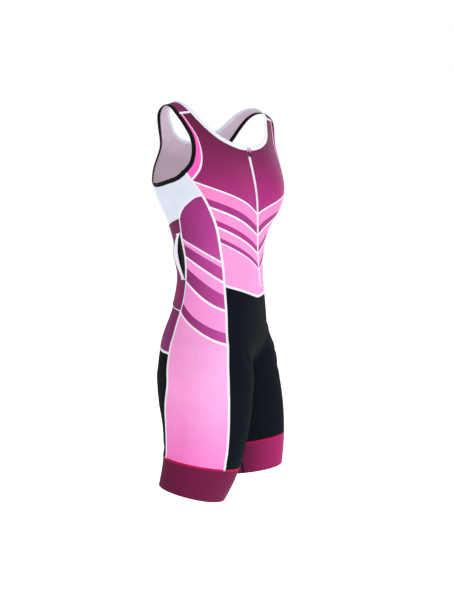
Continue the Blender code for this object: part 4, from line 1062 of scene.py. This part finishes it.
# ---- The neck and armhole bindings ----
# Knit elastic folded over the cloth's edge and stitched through: white round the neck, in one length
# from zip to zip, and black in a ring round each armhole.
BINDING_WIDTH = 0.009
BINDING = [(-0.0004, -0.0012), (0.0004, -0.0017), (0.00055, -0.0019), (0.00055, -0.0019),
           (0.0006, -0.0019), (0.0005, -0.0018), (0.00005, -0.0014), (-0.0006, -0.0009)]
black_elastic = elastic_material("black_elastic", "#090a0c")
neck_line = chained(neck_front, neck_back)
neck_spots = np.linspace(neck_line, beside(neck_line, BINDING_WIDTH), len(BINDING))
neck_spots[:, -1, 0] = 180
neck_spots[:, 0, 0] = zip_side[0, 0]
neck = folded_band("neck_band", neck_spots, [-1, 1], white_elastic, BINDING)
fitted(neck, ["neck_binding"])
ring_line = chained(armhole_front, armhole_back, armhole_under)[:-1]
ring_spots = np.linspace(ring_line, beside(ring_line, -BINDING_WIDTH, closed=True), len(BINDING))
for side, which in SIDES:
    ring = folded_band(f"armhole_band_{which}", ring_spots, [side], black_elastic, BINDING, closed=True)
    fitted(ring, [f"armhole_binding_{which}"])

# ---- The seams ----
# Flat overlocked seams: two needle threads sink beside the join, and looper threads cross between
# them, so each seam is a low ribbed strip. White thread, but black within the shorts and crimson
# over the leg bands. Short bars of stitches hold the ends of the pocket's mouths and of the bands.
SEAM_PROFILE = [
    (-0.0025, -0.0004), (-0.0025, 0.0001), (-0.0020, 0.00035), (-0.0015, 0.0005), (-0.0009, 0.00035),
    (0.0, 0.0004), (0.0009, 0.00035), (0.0015, 0.0005), (0.0020, 0.00035), (0.0025, 0.0001),
    (0.0025, -0.0004), (0.0, -0.0005),
]
STITCH = 0.0016  # from one crossing thread to the next
RUN_ON = 0.0004  # how far an open seam runs on past its ends, over the next one
THREAD = np.array([(-1, -0.1, 0), (-0.8, 0.5, 0.5), (-0.8, -0.5, 0.5), (0.8, 0.5, 0.5), (0.8, -0.5, 0.5),
                   (1, 0.1, 0)])  # one crossing thread's corners, by its size
THREAD_FACES = [(0, 2, 1), (1, 2, 4, 3), (3, 4, 5), (0, 1, 3, 5), (0, 5, 4, 2)]
THREAD_REACH, THREAD_WIDTH, THREAD_HEIGHT = 0.0017, STITCH * 0.55, 0.00042
THREAD_OUT = 0.00025
THREAD_SLANT = 0.22


def spread(tree, value, least, most):
    """A value from 0 to 1 drawn out to run from least to most."""
    return maths(tree, "ADD", maths(tree, "MULTIPLY", value, most - least), least)


def thread_material(name, code):
    """Spun thread: a slight twist in its relief, dry and matt."""
    made, tree, shader = new_material(name)
    fluff = noise(tree, 2500.0)
    plugged(tree, shader, {
        "Base Color": toned(tree, one_colour(tree, code), spread(tree, fluff, 0.90, 1.06)),
        "Normal": relief(tree, fluff, 0.4, 0.0001), "Roughness": 0.65, "Specular IOR Level": 0.1})
    return made


def route(spots, side, pitch, closed=False, lift=0.0):
    """Points on the cloth a pitch apart along a line of spots, with directions along, across and out."""
    points, out = surface(spots, side, lift)
    if closed:
        points, out = np.concatenate([points, points[:1]]), np.concatenate([out, out[:1]])
    lengths = np.concatenate([[0], np.cumsum(np.linalg.norm(np.diff(points, axis=0), axis=1))])
    count = max(1, int(lengths[-1] / pitch))
    marks = np.linspace(0, lengths[-1], count + 1)
    points, out = (np.stack([np.interp(marks, lengths, values[:, i]) for i in range(3)], -1)
                   for values in (points, out))
    along = np.gradient(points, axis=0)
    along /= np.linalg.norm(along, axis=1, keepdims=True)
    across = np.cross(along, out)
    return points, along, across / np.linalg.norm(across, axis=1, keepdims=True), out


def strip(name, points, across, out, profile, scale=1.0):
    """A closed strip of one profile on the cloth. scale is of its width."""
    profile = np.array(profile + profile[:1]) * [scale, 1]
    rings = points[:, None] + across[:, None] * profile[None, :, :1] + out[:, None] * profile[None, :, 1:]
    return sealed(shaped_grid(name, rings, welded=True))


def copied(name, corners, faces):
    """One mesh of many like shapes, from each one's corners and the faces of one."""
    step = corners.shape[1]
    every = [tuple(i + step * k for i in face) for k in range(len(corners)) for face in faces]
    mesh = bpy.data.meshes.new(name)
    mesh.from_pydata(corners.reshape(-1, 3).tolist(), [], every)
    made = bpy.data.objects.new(name, mesh)
    bpy.context.scene.collection.objects.link(made)
    return made


def crossing_threads(name, points, along, across, out, scale):
    """One slanted thread over the strip for each stitch."""
    middle = (points[:-1] + points[1:]) / 2
    local = THREAD * np.array([THREAD_REACH * scale, THREAD_WIDTH, THREAD_HEIGHT]) + [0, 0, THREAD_OUT]
    local = local + np.outer(local[:, 0], [0, THREAD_SLANT, 0])
    corners = (middle[:, None] + across[:-1, None] * local[None, :, :1]
               + along[:-1, None] * local[None, :, 1:2] + out[:-1, None] * local[None, :, 2:])
    return copied(name, corners, THREAD_FACES)


def as_one(name, parts):
    """The parts joined into one piece, in the first one's place."""
    bpy.ops.object.select_all(action="DESELECT")
    for part in parts:
        part.select_set(True)
    bpy.context.view_layer.objects.active = parts[0]
    bpy.ops.object.transform_apply(location=True, rotation=True, scale=True)
    bpy.ops.object.join()
    parts[0].name = parts[0].data.name = name
    return parts[0]


def seam(name, spots, side, thread, scale=1.0, closed=False, lift=0.0):
    """A seam's strip along a line of spots, and its crossing threads."""
    points, along, across, out = route(spots, side, STITCH, closed, lift)
    if not closed:
        points[0] -= along[0] * RUN_ON
        points[-1] += along[-1] * RUN_ON
    ribs = strip(name, points, across, out, SEAM_PROFILE, scale)
    threads = crossing_threads(f"{name}_threads", points, along, across, out, scale)
    return finished(as_one(name, [ribs, threads]), thread, 60)


white_thread = thread_material("white_thread", "#f3f4fb")
black_thread = thread_material("black_thread", "#0c0e13")
crimson_thread = thread_material("crimson_thread", "#c00f4c")
side_front = chained(side_front_top, side_front_middle, side_front_leg)
TACK = 0.005
front_inseam, band_join, band_tack = (
    line((INNER_LEG[0], top), (INNER_LEG[0], foot), steps) for top, foot, steps in (
        (CROTCH - 0.010, LEG_BAND_TOP, 2 * INSEAM_ROWS), (LEG_BAND_TOP - 0.002, HEM + 0.001, 20),
        (LEG_BAND_TOP + TACK / 2, LEG_BAND_TOP - TACK / 2, 4)))
PAD_HALF_WIDTH = 0.032
PAD_TOPS = (-0.545, -0.540)  # heights at which the seat pad's stitched edge begins, in front and behind
PAD_FOOT = CROTCH + 0.004  # height at which it leaves the middle seam for the inner leg
PAD_LOW = -0.614  # its lowest spot, on the inner leg
PAD_STEPS = 24
RAISED = 0.0005  # for a seam that holds an edge of the pocket too
ON_BAND = 0.0024  # for a bar of stitches over the band of the pocket's mouth
mouth_ends = [waist_spots[row, :2 * FINE + 1] for row in (MOUTH_FROM, MOUTH_TO)]
pad_edges = []
for middle, top, way, inner in zip(middles, PAD_TOPS, (1, -1), INNER_LEG):
    middle = middle[(middle[:, 1] < top) & (middle[:, 1] > PAD_FOOT)]
    widths = way * PAD_HALF_WIDTH * np.sin(np.linspace(0.05, 1, len(middle)) * pi / 2)
    edge = beside(middle, widths)
    turn = np.linspace(0, 1, PAD_STEPS)[1:, None]
    under = edge[-1] + (np.array([inner, PAD_LOW]) - edge[-1]) * np.hstack([turn, np.sin(turn * pi / 2)])
    pad_edges.append(chained(edge, np.vstack([edge[-1:], under])))
SEAMS = [  # name, line, thread and how the seam differs from the others
    ("shoulder_seam", shoulder_seam, white_thread, {}),
    ("side_front_seam", side_front, white_thread, {}),
    ("underarm_seam", underarm_curve, white_thread, {}),
    ("back_seam", back_seam, white_thread, {}),
    ("under_back_seam", waist_top, white_thread, {"lift": RAISED}),
    ("side_back_seam", side_back_top, white_thread, {"lift": RAISED}),
    ("side_seat_seam", chained(side_back_middle, side_back_leg), white_thread, {}),
    ("pocket_foot_seam", lower_spots[0], white_thread, {"lift": RAISED}),
    ("seat_seam", lower_spots[-1], white_thread, {}),
    ("waist_seam", waist_seam, white_thread, {}),
    ("inseam", front_inseam, black_thread, {"scale": 0.8}),
    ("leg_band_seam", leg_top[:-1], crimson_thread, {"closed": True, "scale": 0.9}),
    ("leg_band_join", band_join, black_thread, {"scale": 0.8}),
    ("leg_band_tack", band_tack, white_thread, {"scale": 0.55, "lift": 0.0006}),
    ("pocket_top_tack", mouth_ends[0], white_thread, {"scale": 0.5, "lift": ON_BAND}),
    ("pocket_foot_tack", mouth_ends[1], white_thread, {"scale": 0.5, "lift": ON_BAND}),
    ("pad_front_seam", pad_edges[0], black_thread, {"scale": 0.45}),
    ("pad_seat_seam", pad_edges[1], black_thread, {"scale": 0.45}),
]
for side, which in SIDES:
    for title, spots, thread, options in SEAMS:
        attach(seam(f"{title}_{which}", spots, side, thread, **options), "suit")
for title, middle in (("front_rise_seam", middles[0]), ("seat_rise_seam", middles[1])):
    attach(seam(title, middle[1:-FINE], -1, black_thread, scale=0.8), "suit")

# ---- The zip ----
# A fine white nylon coil on woven tape, sewn in between the fronts, closed up to the neck. A bar of
# stitches stops it at its lower end.
ZIP_TOP = neck_spots[-1, 0, 1]
TOOTH_PITCH = 0.0010
TOOTH_SIZE = (0.00125, 0.00043, 0.00045)
TOOTH_SLANT = 0.18
TOOTH_SHIFT = 0.00035
TOOTH_OUT = 0.00040
TAPE = [(-0.0033, -0.0006), (-0.0033, 0.0), (-0.0018, 0.00005), (0.0018, 0.00005), (0.0033, 0.0),
        (0.0033, -0.0006)]
STOP_HEIGHT = ZIP_END - 0.0020
STOP_ANGLE = 2.4
ZIP_STEPS = 200
zip_line = line((0, ZIP_TOP), (0, ZIP_END), ZIP_STEPS)
points, along, across, out = route(zip_line, -1, TOOTH_PITCH)
tape = strip("zip_tape", points, across, out, TAPE)
tape.data.materials.append(white_elastic)
fitted(tape, ["zip"])


def hard_material(name, stops, grain, roughness, detail=4.0):
    """A smooth hard finish, a little uneven in colour and gloss. roughness is its least and most."""
    made, tree, shader = new_material(name)
    haze = noise(tree, grain, detail)
    plugged(tree, shader, {
        "Base Color": ramp(tree, haze, stops), "Roughness": spread(tree, haze, *roughness)})
    return made


white_nylon = hard_material("white_nylon", [(0.3, "#eef0f4"), (0.7, "#fbfbfd")], 700.0, (0.22, 0.42), 2.0)
tooth = added(bpy.ops.mesh.primitive_uv_sphere_add, segments=8, ring_count=6, radius=1)
bar = np.array([v.co for v in tooth.data.vertices]) * TOOTH_SIZE
bar[:, 1] += TOOTH_SLANT * bar[:, 0]
tooth_faces = [tuple(p.vertices) for p in tooth.data.polygons]
bpy.data.objects.remove(tooth)
shifts = np.where(np.arange(len(points) - 1) % 2, TOOTH_SHIFT, -TOOTH_SHIFT)[:, None, None]
teeth = (points[:-1, None] + across[:-1, None] * (bar[None, :, :1] + shifts)
         + along[:-1, None] * bar[None, :, 1:2] + out[:-1, None] * (bar[None, :, 2:] + TOOTH_OUT))
coil = copied("zip_coil", teeth, tooth_faces)
coil.data.shade_smooth()
coil.data.materials.append(white_nylon)
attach(coil, "suit")
stop_line = line((-STOP_ANGLE, STOP_HEIGHT), (STOP_ANGLE, STOP_HEIGHT), 4)
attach(seam("zip_stop", stop_line, -1, white_thread, scale=0.65, lift=0.0006), "suit")

# ---- The slider and its pull tab ----
# A die-cast slider in black enamel at the top of the zip, broader at the end where the coil parts,
# with a bridge over it. The moulded pink tab turns in the bridge, and it points up.
SLIDER_HEIGHT = -0.1015
ZIP_PROBE = 0.002
SLIDER_OUT = 0.0009
SLIDER_SIZE = (0.0072, 0.0110, 0.0027)  # across, along the zip, out of it
SLIDER_TAPER = 0.30  # how much narrower its lower end is
TAPER_PLACES = (-0.001, 0.0045)  # below its middle, where it begins and ends to narrow
SLIDER_DOME = 0.0004
SLIDER_EDGE, PULL_EDGE = 0.0006, 0.0002
BRIDGE_RADIUS, BRIDGE_BAR = 0.0026, 0.0005
BRIDGE_STRETCH = (1, 1.15, 2)
HINGE_OUT = 0.0047
PULL_HALF_WIDTH, PULL_LENGTH, PULL_THICKNESS = 0.0024, 0.0130, 0.0011
HOLE_HALF_WIDTH, HOLE_REACH = 0.00145, 0.0039
RIB_RADIUS, RIB_HALF_WIDTH = 0.00075, 0.0016
RIB_PLACES = (0.0058, 0.0071, 0.0084, 0.0097, 0.0110)


def at_slider(piece, out):
    """The piece put at the slider: its x across the zip, its y up along it and its z out of the cloth."""
    spots = np.array([(0, SLIDER_HEIGHT - ZIP_PROBE), (0, SLIDER_HEIGHT), (0, SLIDER_HEIGHT + ZIP_PROBE)])
    points = surface(spots, -1)[0]
    up = Vector((0, *(points[2] - points[0])[1:])).normalized()
    across = Vector((1, 0, 0))
    outwards = across.cross(up)
    place = Matrix.Translation(Vector(points[1]) + outwards * out)
    piece.matrix_world = place @ Matrix((across, up, outwards)).transposed().to_4x4()
    bpy.ops.object.select_all(action="DESELECT")
    piece.select_set(True)
    bpy.context.view_layer.objects.active = piece
    bpy.ops.object.transform_apply(location=True, rotation=True, scale=True)


black_enamel = hard_material("black_enamel", [(0.35, "#0c0d10"), (0.7, "#191b20")], 600.0, (0.15, 0.45))
pink_plastic = hard_material("pink_plastic", [(0.3, "#f04ab0"), (0.7, "#ff6cc6")], 500.0, (0.35, 0.55))

SLIDER_MIDDLE = SLIDER_OUT + SLIDER_SIZE[2] / 2
body = added(bpy.ops.mesh.primitive_cube_add, size=1, location=(0, 0, SLIDER_MIDDLE))
body.scale = SLIDER_SIZE
bpy.ops.object.transform_apply(location=True, rotation=True, scale=True)
edited(bpy.ops.mesh.subdivide, number_cuts=5)
for corner in body.data.vertices:
    corner.co.x *= 1 - SLIDER_TAPER * float(ease(-corner.co.y, *TAPER_PLACES))
    if corner.co.z > SLIDER_MIDDLE:
        corner.co.z -= SLIDER_DOME * (corner.co.x / SLIDER_SIZE[0] * 2) ** 2
modified(body, "BEVEL", width=SLIDER_EDGE, segments=3, limit_method="ANGLE")
bridge = added(bpy.ops.mesh.primitive_torus_add, major_radius=BRIDGE_RADIUS, minor_radius=BRIDGE_BAR,
               major_segments=28, minor_segments=10, rotation=(0, radians(90), 0),
               location=(0, 0, SLIDER_OUT + SLIDER_SIZE[2]))
bridge.scale = BRIDGE_STRETCH
slider = as_one("slider", [body, bridge])
at_slider(slider, 0)
finished(slider, black_enamel, 40)
fitted(slider, ["zip_slider"])


def rounded_loop(half_width, low, high):
    """A circle drawn out to an upright rounded rectangle."""
    loop = added(bpy.ops.mesh.primitive_circle_add, vertices=32, radius=1)
    for corner in loop.data.vertices:
        x, y, _ = corner.co
        corner.co.x = half_width * np.sign(x) * abs(x) ** 0.5
        corner.co.y = (low + high) / 2 + (high - low) / 2 * np.sign(y) * abs(y) ** 0.5
    return loop


tab = as_one("pull_tab", [rounded_loop(PULL_HALF_WIDTH, -PULL_THICKNESS / 2, PULL_LENGTH),
                          rounded_loop(HOLE_HALF_WIDTH, PULL_THICKNESS / 2, HOLE_REACH)])
edited(bpy.ops.mesh.bridge_edge_loops)
edited(bpy.ops.mesh.normals_make_consistent, inside=False)
modified(tab, "SOLIDIFY", thickness=PULL_THICKNESS, offset=0)
modified(tab, "BEVEL", width=PULL_EDGE, segments=2, limit_method="ANGLE")
ribs = [added(bpy.ops.mesh.primitive_cylinder_add, vertices=12, radius=RIB_RADIUS, depth=2 * RIB_HALF_WIDTH,
              rotation=(0, radians(90), 0), location=(0, place, 0)) for place in RIB_PLACES]
pull = as_one("pull_tab", [tab, *ribs])
at_slider(pull, HINGE_OUT)
finished(pull, pink_plastic, 40)
fitted(pull, ["zip_pull"], "pull_tab")

# ---- The studio ----
# A plain pale floor at foot height, which glows a little so that it runs into the bright even
# surround. Three large soft lights, and a camera a little above the suit's middle.
FLOOR_HEIGHT, FLOOR_SIZE = -1.45, 60
FLOOR_GLOW = (0.5, 0.9)  # on the suit, and as the camera sees it
SURROUND_GLOW = (0.55, 1.0)
LIT_PLACE = Vector((0, 0, -0.4))
LIGHTS = [  # place, size and power of each soft panel, which faces the suit
    ((0.2, -2.5, 0.8), 1.8, 26),
    ((2.2, 0.2, 0.5), 1.4, 14),
    ((-2.2, 1.0, 0.6), 1.6, 8),
]
AZIMUTH, ELEVATION = radians(-43), radians(3.7)
DISTANCE = 2.6
TARGET = Vector((0, 0, -0.42))
IMAGE_HEIGHT = 600  # pixels
FOCAL_LENGTH = 1182  # pixels
FRAME_SHIFT = 8.5  # pixels by which the frame is moved to the right
SENSOR = 36  # millimetres


def glow(tree, shares):
    """How bright a backdrop is: a value for the light that it gives, and one for the camera."""
    seen = node(tree, "ShaderNodeLightPath").outputs["Is Camera Ray"]
    share = node(tree, "ShaderNodeMapRange", {"Value": seen, "To Min": shares[0], "To Max": shares[1]})
    return share.outputs[0]


def aimed(thing, place, target):
    """The thing put in the scene at a place, looking at a target."""
    thing.location = place
    thing.rotation_euler = (target - place).to_track_quat("-Z", "Y").to_euler()
    bpy.context.scene.collection.objects.link(thing)


floor = added(bpy.ops.mesh.primitive_plane_add, size=FLOOR_SIZE, location=(0, 0, FLOOR_HEIGHT))
floor.name = "floor"
pale_floor, tree, shader = new_material("pale_floor")
plugged(tree, shader, {
    "Base Color": ramp(tree, noise(tree, 2.0), [(0.3, "#f4f4f5"), (0.7, "#f8f8f9")]), "Roughness": 0.9,
    "Emission Color": (1, 1, 1, 1), "Emission Strength": glow(tree, FLOOR_GLOW)})
floor.data.materials.append(pale_floor)

world = bpy.data.worlds.new("studio")
world.use_nodes = True
tree = world.node_tree
plugged(tree, tree.nodes["Background"], {"Color": (1, 1, 1, 1), "Strength": glow(tree, SURROUND_GLOW)})
bpy.context.scene.world = world
bpy.context.scene.view_settings.view_transform = "Standard"
for number, (place, size, power) in enumerate(LIGHTS):
    light = bpy.data.lights.new(f"soft_{number}", "AREA")
    light.size = size
    light.energy = power
    aimed(bpy.data.objects.new(light.name, light), Vector(place), LIT_PLACE)

away = Vector((sin(AZIMUTH) * cos(ELEVATION), -cos(AZIMUTH) * cos(ELEVATION), sin(ELEVATION)))
lens = bpy.data.cameras.new("camera")
lens.lens = FOCAL_LENGTH / IMAGE_HEIGHT * SENSOR
lens.shift_x = FRAME_SHIFT / IMAGE_HEIGHT
camera = bpy.data.objects.new("camera", lens)
aimed(camera, TARGET + away * DISTANCE, TARGET)
bpy.context.scene.camera = camera
